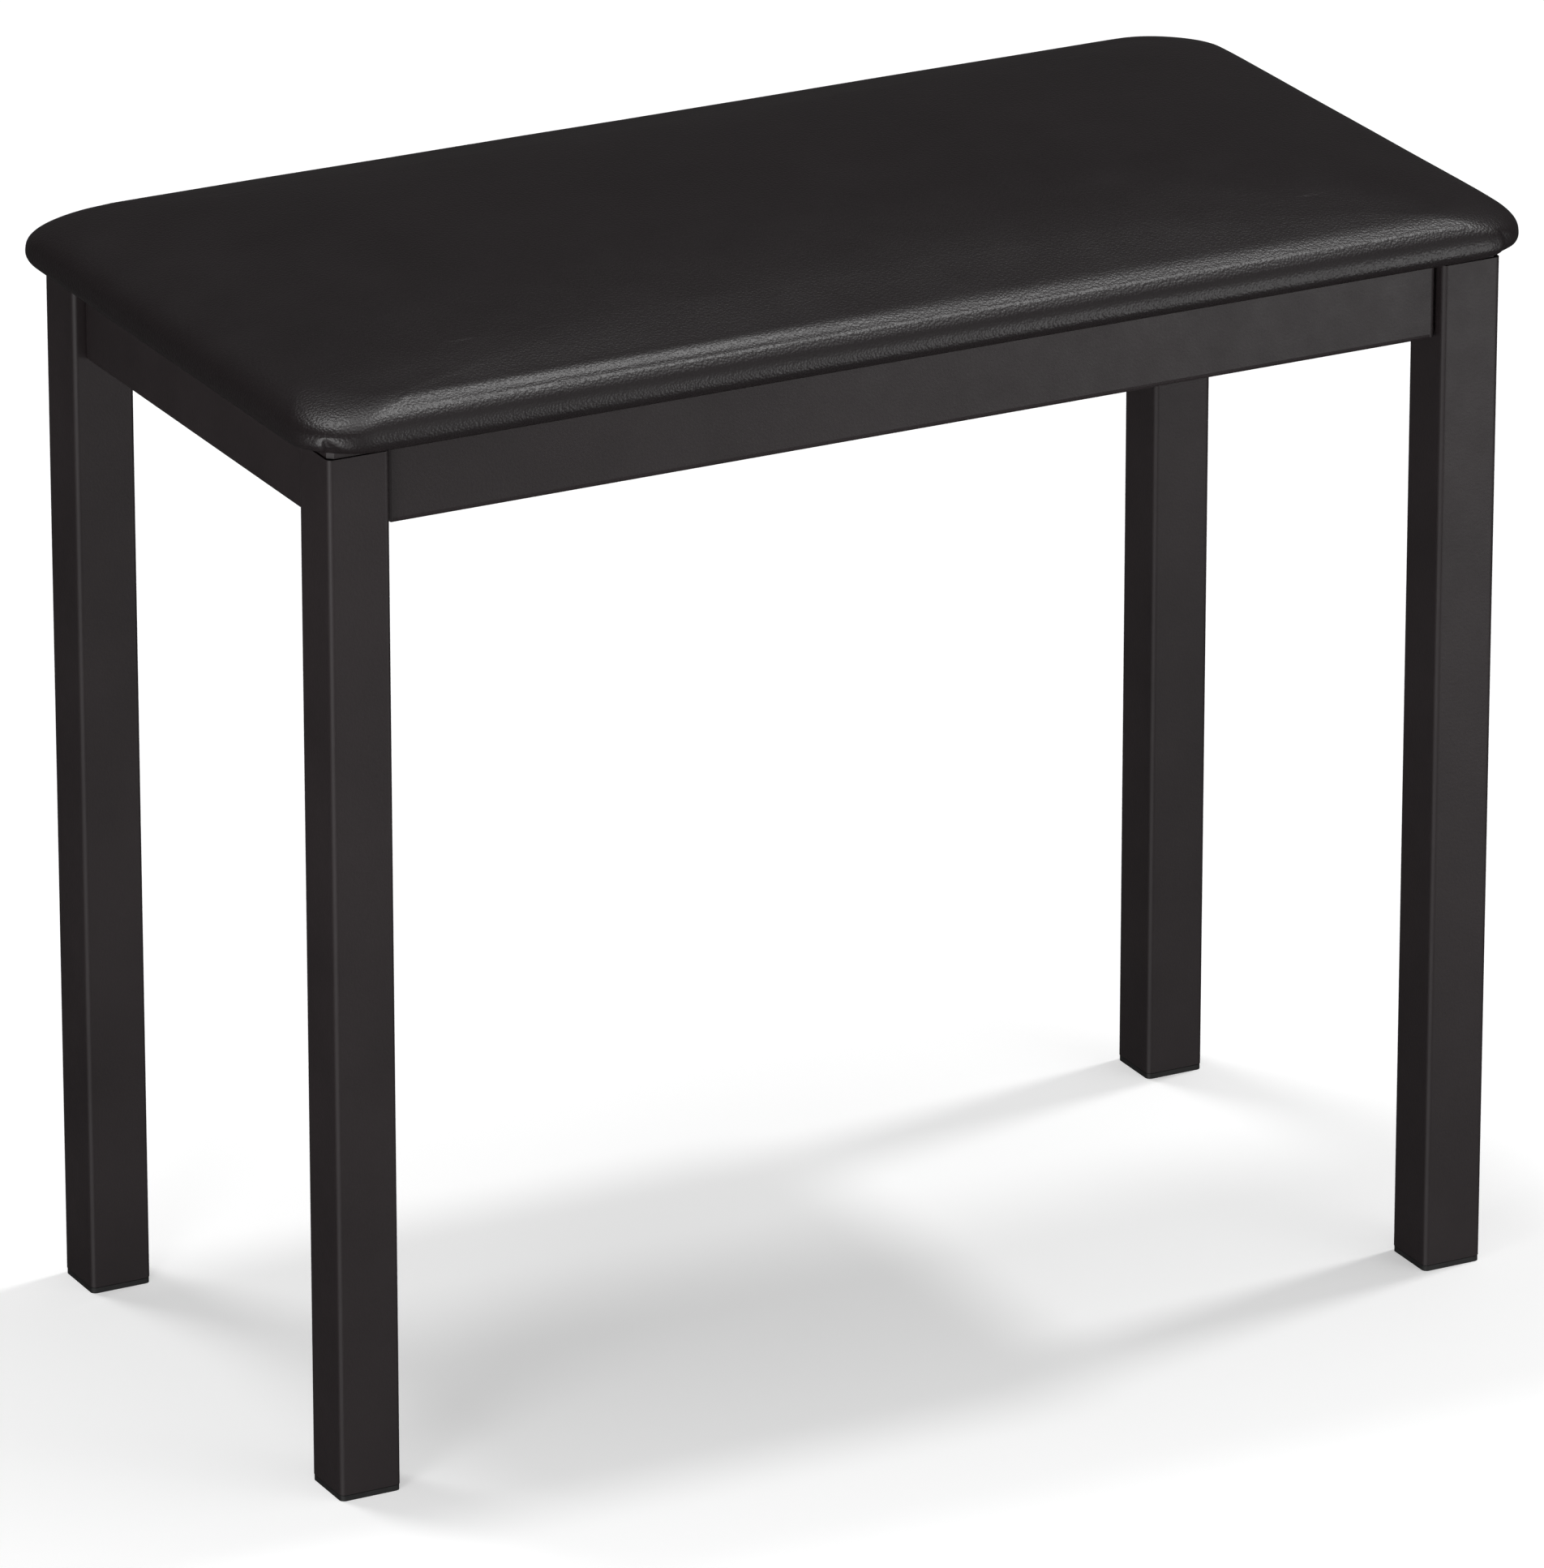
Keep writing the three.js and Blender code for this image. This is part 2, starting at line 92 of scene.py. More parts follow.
def smoothstep(value, start, end):
    """0 before start, 1 after end, and a smooth rise between them."""
    share = np.clip((value - start) / (end - start), 0, 1)
    return share * share * (3 - 2 * share)


def rise_at(inset):
    """Height of the skin above the pad's underside, at a distance in from its outline."""
    share = np.clip(inset / SHOULDER_REACH, 0, 1)
    n = SHOULDER_EXPONENT
    shoulder = SHOULDER_RISE * (1 - (1 - share) ** n) ** (1 / n)
    across = np.clip(inset / PAD_HALF[1], 0, 1)
    return WALL_TOP + shoulder + CROWN * (1 - (1 - across) ** 2)


def droop_at(plan):
    """The share of the skin's height above its wall that is left at plan points near the corners."""
    away = np.hypot(PAD_HALF[0] - np.abs(plan[:, 0]), PAD_HALF[1] - np.abs(plan[:, 1]))
    return 1 - DROOP * (1 - smoothstep(away, DROOP_NEAR, DROOP_FAR))


def section():
    """The skin's cross-section from the margin's edge to the last ring, as (inset, height) points."""
    points = [(MARGIN, 0.0)]
    for degrees in range(91):
        angle = math.radians(degrees)
        inset = UNDER_EDGE * (1 - math.sin(angle))
        points.append((inset, UNDER_EDGE * (1 - math.cos(angle))))
    insets = RING_REACH * np.linspace(0, 1, SECTION_POINTS) ** 3
    points += zip(insets, rise_at(insets))
    return np.array(points)


def along(points):
    """Distance along a line of points, from its start to each point."""
    steps = np.linalg.norm(np.diff(points, axis=0), axis=1)
    return np.concatenate([[0], np.cumsum(steps)])


SECTION = section()
SECTION_LENGTH = along(SECTION)
ON_SHOULDER = SECTION[:, 1] > UNDER_EDGE
SHOULDER_INSETS = SECTION[ON_SHOULDER, 0]
SHOULDER_PLACES = SECTION_LENGTH[ON_SHOULDER]


def section_place(inset):
    """Distance along the cross-section of the shoulder's point at an inset."""
    return np.interp(inset, SHOULDER_INSETS, SHOULDER_PLACES)


def ring_places():
    """Where the rings lie along the cross-section: closest where the skin turns most."""
    margin_end = MARGIN - UNDER_EDGE
    turn_end = margin_end + math.pi / 2 * UNDER_EDGE
    fine_end = section_place(FINE_INSET)
    spans = [
        (0, margin_end, MARGIN_STEP),
        (margin_end, turn_end, EDGE_STEP),
        (turn_end, fine_end, FINE_STEP),
        (fine_end, SECTION_LENGTH[-1], TOP_STEP),
    ]
    places = [0.0]
    for start, end, step in spans:
        count = max(1, round((end - start) / step))
        places += list(np.linspace(start, end, count + 1)[1:])
    return np.array(places)


def corner_radius(inset):
    """Radius of the outline's corners at an inset."""
    return np.minimum(CORNER_RADIUS + CORNER_OPENING * inset, PAD_HALF[1] - inset)


def outline(inset, radius, evenness):
    """The points round the pad at an inset, from the middle of its right side, anticlockwise.

    At evenness 0 the corners have their own share of points, and at 1 all lie evenly apart."""
    half_x, half_y = PAD_HALF[0] - inset, PAD_HALF[1] - inset
    lengths = [half_y - radius, math.pi / 2 * radius, half_x - radius]
    ends = np.cumsum([0, *lengths])
    spans = zip(ends[:-1], ends[1:], (SHORT_STEPS, CORNER_STEPS, LONG_STEPS))
    own = [np.linspace(start, end, count, endpoint=False) for start, end, count in spans]
    own = np.concatenate([*own, ends[-1:]])
    even = np.linspace(0, ends[3], QUARTER_STEPS + 1)
    place = own + (even - own) * evenness
    angle = np.clip((place - ends[1]) / radius, 0, math.pi / 2)
    x = half_x - radius + radius * np.cos(angle) - np.maximum(place - ends[2], 0)
    y = np.minimum(place, ends[1]) + radius * np.sin(angle)
    quarter = np.stack([x, y], axis=1)
    back = quarter[::-1]
    quarters = [quarter[:-1], back[:-1] * (-1, 1), -quarter[:-1], back[:-1] * (1, -1)]
    return np.concatenate(quarters)


def inset_of(points):
    """How far in from the pad's outline each plan point lies, by halving the range it can be in."""
    low = np.zeros(len(points))
    high = np.full(len(points), PAD_HALF[1])
    for _ in range(HALVINGS):
        middle = (low + high) / 2
        radius = corner_radius(middle)
        over_x = np.abs(points[:, 0]) - (PAD_HALF[0] - middle - radius)
        over_y = np.abs(points[:, 1]) - (PAD_HALF[1] - middle - radius)
        beyond = np.hypot(np.maximum(over_x, 0), np.maximum(over_y, 0))
        outside = beyond + np.minimum(np.maximum(over_x, over_y), 0) > radius
        high = np.where(outside, middle, high)
        low = np.where(outside, low, middle)
    return (low + high) / 2


def top_grid(ring):
    """A grid of plan points inside the last ring, as a patch stretched between its four sides."""
    turn = SHORT_STEPS + CORNER_STEPS // 2
    across, deep = 2 * (QUARTER_STEPS - turn), 2 * turn
    index = np.arange(RING_STEPS)
    front = np.roll(index, -(2 * QUARTER_STEPS + turn))[: across + 1]
    right = np.roll(index, turn)[: deep + 1]
    rear = np.roll(index, -turn)[: across + 1][::-1]
    left = np.roll(index, -(2 * QUARTER_STEPS - turn))[: deep + 1][::-1]
    u = np.linspace(0, 1, across + 1)[:, None, None]
    v = np.linspace(0, 1, deep + 1)[None, :, None]
    between_long = (1 - v) * ring[front][:, None] + v * ring[rear][:, None]
    between_short = (1 - u) * ring[left][None] + u * ring[right][None]
    near = (1 - u) * ring[front[0]] + u * ring[front[-1]]
    far = (1 - u) * ring[rear[0]] + u * ring[rear[-1]]
    plan = between_long + between_short - ((1 - v) * near + v * far)
    return plan, (front, right, rear, left)


def ring_faces(rings, steps, capped=False):
    """Faces between each ring of points and the next, and over both ends of a capped shape."""
    faces = []
    for ring in range(rings - 1):
        for k in range(steps):
            here, after = ring * steps + k, ring * steps + (k + 1) % steps
            faces.append((here, after, after + steps, here + steps))
    if capped:
        last = (rings - 1) * steps
        faces += [tuple(reversed(range(steps))), tuple(range(last, last + steps))]
    return faces


def shape_skin(skin, shrink):
    """Draws the skin down at its corners, shrinks it inwards and lifts it to its place."""
    above_wall = np.maximum(skin[:, 2] - WALL_TOP, 0)
    skin[:, 2] += above_wall * (droop_at(skin[:, :2]) - 1)
    share = np.clip(skin[:, 2] / WALL_TOP, 0, 1)
    for axis, half in enumerate(PAD_HALF):
        near_side = smoothstep(np.abs(skin[:, axis]), half - SHRINK_FAR, half - SHRINK_NEAR)
        skin[:, axis] -= np.sign(skin[:, axis]) * shrink * share * near_side
    skin[:, 2] += PAD_BOTTOM - shrink * share


def pad_skin(shrink):
    """Points, faces and each point's place along the cross-section, for the skin shrunk inwards."""
    places = ring_places()
    insets = np.interp(places, SECTION_LENGTH, SECTION[:, 0])
    heights = np.interp(places, SECTION_LENGTH, SECTION[:, 1])
    even_start = section_place(EVEN_INSET)
    points, along_section = [], []
    for place, inset, height in zip(places, insets, heights):
        plan = outline(inset, corner_radius(inset), smoothstep(place, even_start, places[-1]))
        points.append(np.column_stack([plan, np.full(RING_STEPS, height)]))
        along_section.append(np.full(RING_STEPS, place))
    faces = ring_faces(len(places), RING_STEPS)
    plan, (front, right, rear, left) = top_grid(points[-1][:, :2])
    inner = plan[1:-1, 1:-1].reshape(-1, 2)
    points.append(np.column_stack([inner, rise_at(inset_of(inner))]))
    along_section.append(np.full(len(inner), places[-1] + TOP_PLACE))
    last_ring = (len(places) - 1) * RING_STEPS
    inner_index = len(places) * RING_STEPS + np.arange(len(inner))
    index = np.pad(inner_index.reshape(plan.shape[0] - 2, -1), 1)
    index[:, 0], index[:, -1] = last_ring + front, last_ring + rear
    index[0, :], index[-1, :] = last_ring + left, last_ring + right
    for u in range(index.shape[0] - 1):
        for v in range(index.shape[1] - 1):
            faces.append((index[u, v], index[u + 1, v], index[u + 1, v + 1], index[u, v + 1]))
    skin = np.concatenate(points)
    shape_skin(skin, shrink)
    return skin, [tuple(int(i) for i in face) for face in faces], np.concatenate(along_section)


# ---------- making objects ----------


def new_object(name, points, faces, smooth=True):
    """A mesh object with these points and faces, in the scene."""
    mesh = bpy.data.meshes.new(name)
    mesh.from_pydata([tuple(p) for p in points], [], faces)
    mesh.validate()
    mesh.polygons.foreach_set("use_smooth", [smooth] * len(mesh.polygons))
    piece = bpy.data.objects.new(name, mesh)
    bpy.context.scene.collection.objects.link(piece)
    return piece


def positions(piece):
    """The piece's points as rows of x, y, z."""
    found = np.zeros(3 * len(piece.data.vertices))
    piece.data.vertices.foreach_get("co", found)
    return found.reshape(-1, 3)


def set_positions(piece, points):
    """Moves the piece's points to these places."""
    piece.data.vertices.foreach_set("co", points.ravel())
    piece.data.update()


def normals(piece):
    """The direction out of the surface at each of the piece's points."""
    found = np.zeros(3 * len(piece.data.vertices))
    piece.data.vertices.foreach_get("normal", found)
    return found.reshape(-1, 3)


def apply_modifiers(piece):
    """Makes the shape that the piece's modifiers give into its own mesh."""
    depsgraph = bpy.context.evaluated_depsgraph_get()
    mesh = bpy.data.meshes.new_from_object(piece.evaluated_get(depsgraph), depsgraph=depsgraph)
    piece.modifiers.clear()
    piece.data = mesh


def add_weights(piece, weights):
    """Gives each of the piece's points its weight, and returns the name of their group."""
    group = piece.vertex_groups.new(name="weights")
    for index, weight in enumerate(weights):
        group.add([index], float(weight), "REPLACE")
    return group.name


def thicken(piece, thickness):
    """Gives a sheet its thickness, inwards from its surface."""
    shell = piece.modifiers.new("thickness", "SOLIDIFY")
    shell.thickness = thickness
    shell.offset = -1
    apply_modifiers(piece)


def finish_piece(piece, slot, *nodes):
    """The piece rides on the bench's only body, with its slot's finish, in place of these nodes."""
    piece.data.materials.append(MATERIALS[slot])
    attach(piece, "root")
    if nodes:
        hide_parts(*nodes)


# ---------- upholstery ----------

SIMULATED_FRAMES = 20
CLOTH_PRESSURE = 4.0
SWELL_CAP, SINK_CAP = 3 * MM, 0.1 * MM  # furthest that the skin may move out and in
TOP_HOLD = 0.08  # how strongly the foam holds the top of the skin, where 1 is pinned
TOP_HOLD_INSET = 16 * MM  # the inset at which its hold has fallen to that


def move_along(piece, start, out, furthest_in=-np.inf, furthest_out=np.inf):
    """Applies the piece's modifiers, but moves each point only along its direction out."""
    apply_modifiers(piece)
    piece.vertex_groups.clear()
    moved = np.sum((positions(piece) - start) * out, axis=1)
    moved = np.clip(moved, furthest_in, furthest_out)
    set_positions(piece, start + out * moved[:, None])


def foam_hold(points):
    """How strongly each of the skin's points is held: fast to the board, and lightly by the foam."""
    hold = 1 + (TOP_HOLD - 1) * smoothstep(inset_of(points[:, :2]), 0, TOP_HOLD_INSET)
    return np.where(points[:, 2] < PAD_BOTTOM + HELD_HEIGHT, 1.0, hold)


def swell(piece):
    """Blows the skin up like the taut cover of a pad, and lets the foam stop it from sinking in."""
    start, out = positions(piece), normals(piece)
    cloth = piece.modifiers.new("cloth", "CLOTH")
    settings = cloth.settings
    settings.quality = 6
    settings.mass = 0.3
    settings.tension_stiffness = 30
    settings.compression_stiffness = 30
    settings.shear_stiffness = 15
    settings.bending_stiffness = 4
    settings.use_pressure = True
    settings.uniform_pressure_force = CLOTH_PRESSURE
    settings.vertex_group_mass = add_weights(piece, foam_hold(start))
    settings.effector_weights.gravity = 0
    cloth.collision_settings.use_collision = False
    cloth.point_cache.frame_start = 1
    cloth.point_cache.frame_end = SIMULATED_FRAMES
    scene = bpy.context.scene
    for number in range(1, SIMULATED_FRAMES + 1):
        scene.frame_set(number)
    move_along(piece, start, out, -SINK_CAP, SWELL_CAP)
    scene.frame_set(1)


# Each pass that evens out the skin: the insets where it begins and where it is full, and its rounds.
SOFTENING = [(2 * MM, 8 * MM, 14), (15 * MM, 30 * MM, 40)]


def soften(piece, start, end, rounds):
    """Evens out the skin where it lies further in than an inset, with full effect from a second one."""
    points, out = positions(piece), normals(piece)
    weights = smoothstep(inset_of(points[:, :2]), start, end)
    weights *= smoothstep(points[:, 2] - PAD_BOTTOM, HELD_HEIGHT, WALL_TOP)
    smooth = piece.modifiers.new("smooth", "SMOOTH")
    smooth.factor = 0.5
    smooth.iterations = rounds
    smooth.vertex_group = add_weights(piece, weights)
    move_along(piece, points, out)


def bell(distance, width):
    """1 in the middle, falling away smoothly over a width to each side."""
    return np.exp(-((distance / width) ** 2))


# Each corner's fold, in millimetres: the place of its crisp edge, from the corner's middle towards the
# long side, the side of the edge on which it is hollow (1 is towards the long side), and its height.
FOLDS = {
    "front_left": (-1.0, 1, 10),
    "front_right": (11.6, -1, 14),
    "rear_left": (10.9, -1, 12.5),
    "rear_right": (1.3, 1, 11),
}
FOLD_REACH = 11.5 * MM  # of its hollow, from the edge round the corner
FOLD_DEPTH = 1.3 * MM
FOLD_STEP = 1.6 * MM  # over which the skin drops at the edge
FOLD_FLOOR = 0.2  # share of its reach at which the hollow begins to rise again
FOLD_TAPER = 0.45  # share of its height that a fold loses over its reach
FOLD_FADE = 4 * MM  # height over which it fades out at its top
FOLD_INSET = 14 * MM  # furthest in from the outline
FLAP, FLAP_WIDTH = 0.15 * MM, 1.8 * MM  # how far the flap beside a fold stands proud, and its width
FAR_OFF = 1.0  # the distance from a corner that counts for points well inside the pad


def corner_distance(points, sign_x, sign_y):
    """Distance along the outline from one corner's middle, positive towards the long side."""
    inset = inset_of(points[:, :2])
    radius = corner_radius(inset)
    over_x = points[:, 0] * sign_x - (PAD_HALF[0] - inset - radius)
    over_y = points[:, 1] * sign_y - (PAD_HALF[1] - inset - radius)
    angle = np.arctan2(np.maximum(over_x, 0), np.maximum(over_y, 0))
    place = CORNER_RADIUS * (math.pi / 4 - angle)
    place += np.maximum(-over_x, 0) * (over_y > 0)
    place -= np.maximum(-over_y, 0) * (over_x > 0)
    inside = (over_x <= 0) & (over_y <= 0)
    return np.where(inside, FAR_OFF, place)


def fold_depth(points, corner):
    """How far the fold at a corner draws the skin in, where the spare cover is tucked under."""
    edge, hollow_side, fold_top = FOLDS[corner]
    place = corner_distance(points, *CORNERS[corner])
    height = points[:, 2] - PAD_BOTTOM
    behind = hollow_side * (place - edge * MM)
    top = fold_top * MM * (1 - FOLD_TAPER * np.clip(behind / FOLD_REACH, 0, 1))
    below = 1 - smoothstep(height, top - FOLD_FADE, top)
    near_outline = inset_of(points[:, :2]) < FOLD_INSET
    rising = 1 - smoothstep(behind, FOLD_FLOOR * FOLD_REACH, FOLD_REACH)
    hollow = smoothstep(behind, 0, FOLD_STEP) * rising
    flap = bell(behind + FLAP_WIDTH, FLAP_WIDTH) * FLAP
    return (FOLD_DEPTH * hollow - flap) * below * near_outline


# The ridges that the foam's edge raises along the long sides' shoulders, and the troughs between.
# Each has, in millimetres, its insets from the outline at the left and right ends, its height, its
# width, and the two spans of x over which it fades in and out.
RIDGES = [
    ((12.5, 13.5), 0.2, 3.0, (-300, -290), (-100, 0)),
    ((8.2, 8.2), -0.27, 2.2, (-262, -190), (-120, 20)),
    ((5.0, 5.6), 0.19, 1.5, (-250, -60), (300, 310)),
]
RIDGE_LEFT = 0.1  # share of a ridge that is left where it has faded out
RIDGE_DIP = 5 * MM  # how much nearer the outline a ridge lies where it ends, at a corner
RIDGE_DIP_REACH = 27 * MM  # from the corner's middle
RIDGE_END, RIDGE_FULL = -3 * MM, 6 * MM  # from the corner's middle, where it ends and where it is whole


def ridge_height(points, along_section):
    """How far the ridges and the troughs between them raise the skin."""
    x = points[:, 0]
    from_corner = np.min([corner_distance(points, *signs) for signs in CORNERS.values()], axis=0)
    on_long_side = smoothstep(from_corner, RIDGE_END, RIDGE_FULL)
    dip = RIDGE_DIP * (1 - smoothstep(from_corner, 0, RIDGE_DIP_REACH))
    raised = np.zeros(len(points))
    for insets, height, width, fade_in, fade_out in RIDGES:
        inset = np.interp(x, [-PAD_HALF[0], PAD_HALF[0]], insets) * MM - dip
        strength = smoothstep(x / MM, *fade_in) * (1 - smoothstep(x / MM, *fade_out))
        strength = RIDGE_LEFT + (1 - RIDGE_LEFT) * strength
        raised += height * MM * strength * bell(along_section - section_place(inset), width * MM)
    return raised * on_long_side


SEED_STEP = (7.31, 3.17, 5.53)  # from one seed's pattern to the next one's


def uneven(points, size, seed):
    """Smooth random values near -1 to 1 at the points, with features of about that size."""
    shift = Vector([seed * step for step in SEED_STEP])
    return np.array([noise.noise(Vector(p) / size + shift) for p in points])


# The height of each ripple in the vinyl, its size and the seed of its pattern.
RIPPLES = [(0.15 * MM, 60 * MM, 1), (0.02 * MM, 16 * MM, 2)]
SHAPED_FROM, SHAPED_ABOVE = 0.2 * MM, 3 * MM  # heights where the folds and ripples begin and are full


def upholster(piece):
    """Gives the swollen skin the folds, creases and unevenness of vinyl pulled over foam."""
    points, out = positions(piece), normals(piece)
    along_section = np.zeros(len(points), np.float32)
    piece.data.attributes["section"].data.foreach_get("value", along_section)
    shaped = smoothstep(points[:, 2] - PAD_BOTTOM, SHAPED_FROM, SHAPED_ABOVE)
    ridges = ridge_height(points, along_section)
    inward = sum(fold_depth(points, corner) for corner in CORNERS)
    ripple = sum(height * uneven(points, size, seed) for height, size, seed in RIPPLES)
    set_positions(piece, points + out * ((ripple + ridges - inward) * shaped)[:, None])


def make_cover():
    """The vinyl cover: a taut skin over the pad, turned in under the board, with real thickness."""
    points, faces, along_section = pad_skin(SWELL_ROOM)
    piece = new_object("upholstered_cover", points, faces)
    attribute = piece.data.attributes.new("section", "FLOAT", "POINT")
    attribute.data.foreach_set("value", along_section.astype(np.float32))
    swell(piece)
    for start, end, rounds in SOFTENING:
        soften(piece, start, end, rounds)
    piece.modifiers.new("finer", "SUBSURF").levels = 1
    apply_modifiers(piece)
    upholster(piece)
    thicken(piece, COVER_THICKNESS)
    piece.data.polygons.foreach_set("use_smooth", [True] * len(piece.data.polygons))
    finish_piece(piece, "black_vinyl", "seat_cover")


# The board's edge, in millimetres: insets from the cover's outline and heights above its underside.
BOARD_EDGE = [(7.1, 1.5), (5.9, 2), (4.5, 3), (3.7, 4.2), (3.4, 5.5), (3.4, 10), (3.9, 10.5)]


def make_board():
    """The plywood seat board, with its lower edge rounded off for the cover to pass round."""
    points = []
    for inset, height in BOARD_EDGE:
        plan = outline(inset * MM, corner_radius(inset * MM), 0)
        points += [(x, y, PAD_BOTTOM + height * MM) for x, y in plan]
    faces = ring_faces(len(BOARD_EDGE), RING_STEPS, capped=True)
    piece = new_object("rounded_seat_board", points, faces)
    sharpen(piece)
    finish_piece(piece, "plywood", "seat_board")


FOAM_GAP = 4.4 * MM  # from the cover's outside to the foam


def make_foam():
    """The foam block under the cover, cut off flat where it lies on the board."""
    points, faces, _ = pad_skin(FOAM_GAP)
    piece = new_object("foam_pad", points, faces)
    shape = bmesh.new()
    shape.from_mesh(piece.data)
    everything = shape.verts[:] + shape.edges[:] + shape.faces[:]
    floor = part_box("seat_foam")[0].z
    cut = bmesh.ops.bisect_plane(
        shape, geom=everything, plane_co=(0, 0, floor), plane_no=(0, 0, 1), clear_inner=True
    )
    rim = [part for part in cut["geom_cut"] if isinstance(part, bmesh.types.BMEdge)]
    bmesh.ops.edgenet_fill(shape, edges=rim)
    bmesh.ops.recalc_face_normals(shape, faces=shape.faces)
    shape.to_mesh(piece.data)
    shape.free()
    finish_piece(piece, "foam", "seat_foam")


# ---------- dust cover and staples ----------

CLOTH_THICKNESS = 0.6 * MM
CLOTH_STEP = 5 * MM  # about the spacing of the cloth's points
CLOTH_RISE = 0.3 * MM  # of the cloth above its CAD solid, so that its double hem clears the rails
HEM = 10 * MM  # width of the edge that is turned under, where the cloth is double
CLOTH_SAG = 1.1 * MM
CLOTH_CREASE = 0.35 * MM
# The cloth's wrinkles: their scale along x, their strength, their size and their pattern's seed.
WRINKLES = [(1.0, 1.0, 55 * MM, 3), (0.35, 0.6, 17 * MM, 4)]
SLACK_FROM, SLACK_FULL = 14 * MM, 70 * MM  # from the cloth's edge, where it begins to sag and sags fully
PLATE_REACH = 30 * MM  # from a leg plate, where it sags fully
HEM_STEP = 0.3 * MM  # how much lower the double hem lies
HEM_END, HEM_FULL = HEM + 0.9 * MM, HEM - 0.1 * MM  # from the cloth's edge, where that is nil and full
STAPLE_IN = 13 * MM  # from the cloth's edge to the middle of its staples
STAPLE_PITCH = 46 * MM
STAPLE_LENGTH, STAPLE_WIDTH, STAPLE_WIRE = 10 * MM, 1.2 * MM, 0.5 * MM
STAPLE_LEG = 3 * MM  # how far its ends go up into the board
STAPLE_BEND = 0.6 * MM  # radius of the wire's bends
STAPLE_SCATTER = 1.5 * MM  # most that a staple lies off its row
CLOTH_REACH = (205 * MM, 68 * MM)  # how far the cloth's rows of staples run along x and along y
COVER_STAPLES = (141.5 * MM, 279 * MM)  # the cover's rows of staples lie at these y and x
COVER_REACH = (235 * MM, 95 * MM)  # how far they run along x and along y

cloth_low, cloth_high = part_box("dust_cover")
CLOTH_HALF = (cloth_high.x, cloth_high.y)
CLOTH_BOTTOM = cloth_low.z + CLOTH_RISE
seat_bolt_low, seat_bolt_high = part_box("seat_bolt_rear_right")
SEAT_BOLT_AT = (seat_bolt_low + seat_bolt_high) / 2
PLATE_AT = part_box("leg_plate_rear_right")[0]  # the inner, lower corner of a leg plate


def cloth_lines(half):
    """Places of the cloth's grid lines from one edge to the other, with a close pair at each hem."""
    inner = half - HEM
    count = round(2 * (inner - MM) / CLOTH_STEP)
    middle = np.linspace(MM - inner, inner - MM, count + 1)
    edges = np.array([inner, half - HEM / 2, half])
    return np.concatenate([-edges[::-1], middle, edges])


def cloth_height(x, y):
    """Height of the cloth's underside: flat at its hems and over the leg plates, and slack between."""
    from_edge = np.minimum(CLOTH_HALF[0] - np.abs(x), CLOTH_HALF[1] - np.abs(y))
    off_plates = np.maximum(PLATE_AT.x - np.abs(x), PLATE_AT.y - np.abs(y))
    slack = smoothstep(from_edge, SLACK_FROM, SLACK_FULL) * smoothstep(off_plates, 0, PLATE_REACH)
    wrinkles = 0
    for scale, strength, size, seed in WRINKLES:
        plan = np.column_stack([scale * x, y, np.zeros(len(x))])
        wrinkles = wrinkles + strength * uneven(plan, size, seed)
    hem = 1 - smoothstep(from_edge, HEM_FULL, HEM_END)
    sag = CLOTH_SAG * slack + CLOTH_CREASE * wrinkles * np.sqrt(slack)
    return CLOTH_BOTTOM - np.maximum(sag, 0) - HEM_STEP * hem


def make_dust_cover(staples):
    """Non-woven cloth stretched under the board, with its edges turned under and stapled."""
    columns, rows = cloth_lines(CLOTH_HALF[0]), cloth_lines(CLOTH_HALF[1])
    x, y = (axis.ravel() for axis in np.meshgrid(columns, rows, indexing="ij"))
    points = np.column_stack([x, y, cloth_height(x, y)])
    faces = []
    for i in range(len(columns) - 1):
        for k in range(len(rows) - 1):
            middle_x = (columns[i] + columns[i + 1]) / 2
            middle_y = (rows[k] + rows[k + 1]) / 2
            from_bolt = math.hypot(abs(middle_x) - SEAT_BOLT_AT.x, abs(middle_y) - SEAT_BOLT_AT.y)
            if from_bolt > CLOTH_STEP:
                corner = i * len(rows) + k
                faces.append((corner, corner + 1, corner + len(rows) + 1, corner + len(rows)))
    piece = new_object("underside_dust_cover", points, faces)
    thicken(piece, CLOTH_THICKNESS)
    finish_piece(piece, "black_cloth", "dust_cover")


def swept(path, across, section):
    """Points and faces of a bar with this (outward, sideways) section along a flat path."""
    points = []
    for k, at in enumerate(path):
        run = (path[min(k + 1, len(path) - 1)] - path[max(k - 1, 0)]).normalized()
        out = run.cross(across)
        points += [at + out * o + across * a for o, a in section]
    return points, ring_faces(len(path), len(section), capped=True)


def staple_path(at, along_x):
    """The middle line of a staple's wire, from one point up in the board to the other."""
    run = Vector((1, 0, 0)) if along_x else Vector((0, 1, 0))
    half, bend = STAPLE_LENGTH / 2, STAPLE_BEND
    end = [(-half, STAPLE_LEG), (-half, bend)]
    for degrees in (30, 60, 90):
        angle = math.radians(degrees)
        end.append((-half + bend * (1 - math.cos(angle)), bend * (1 - math.sin(angle))))
    flat = end + [(-u, z) for u, z in reversed(end)]
    return [at + run * u + Vector((0, 0, z)) for u, z in flat]


def staple_row(fixed, reach, height, along_x):
    """Staple places along two opposite sides, each with the direction of its crown."""
    count = round(2 * reach / STAPLE_PITCH)
    row = []
    for side in (-1, 1):
        for place in np.linspace(-reach, reach, count + 1):
            flat = (place, side * fixed) if along_x else (side * fixed, place)
            row.append((Vector((*flat, height)), along_x))
    return row


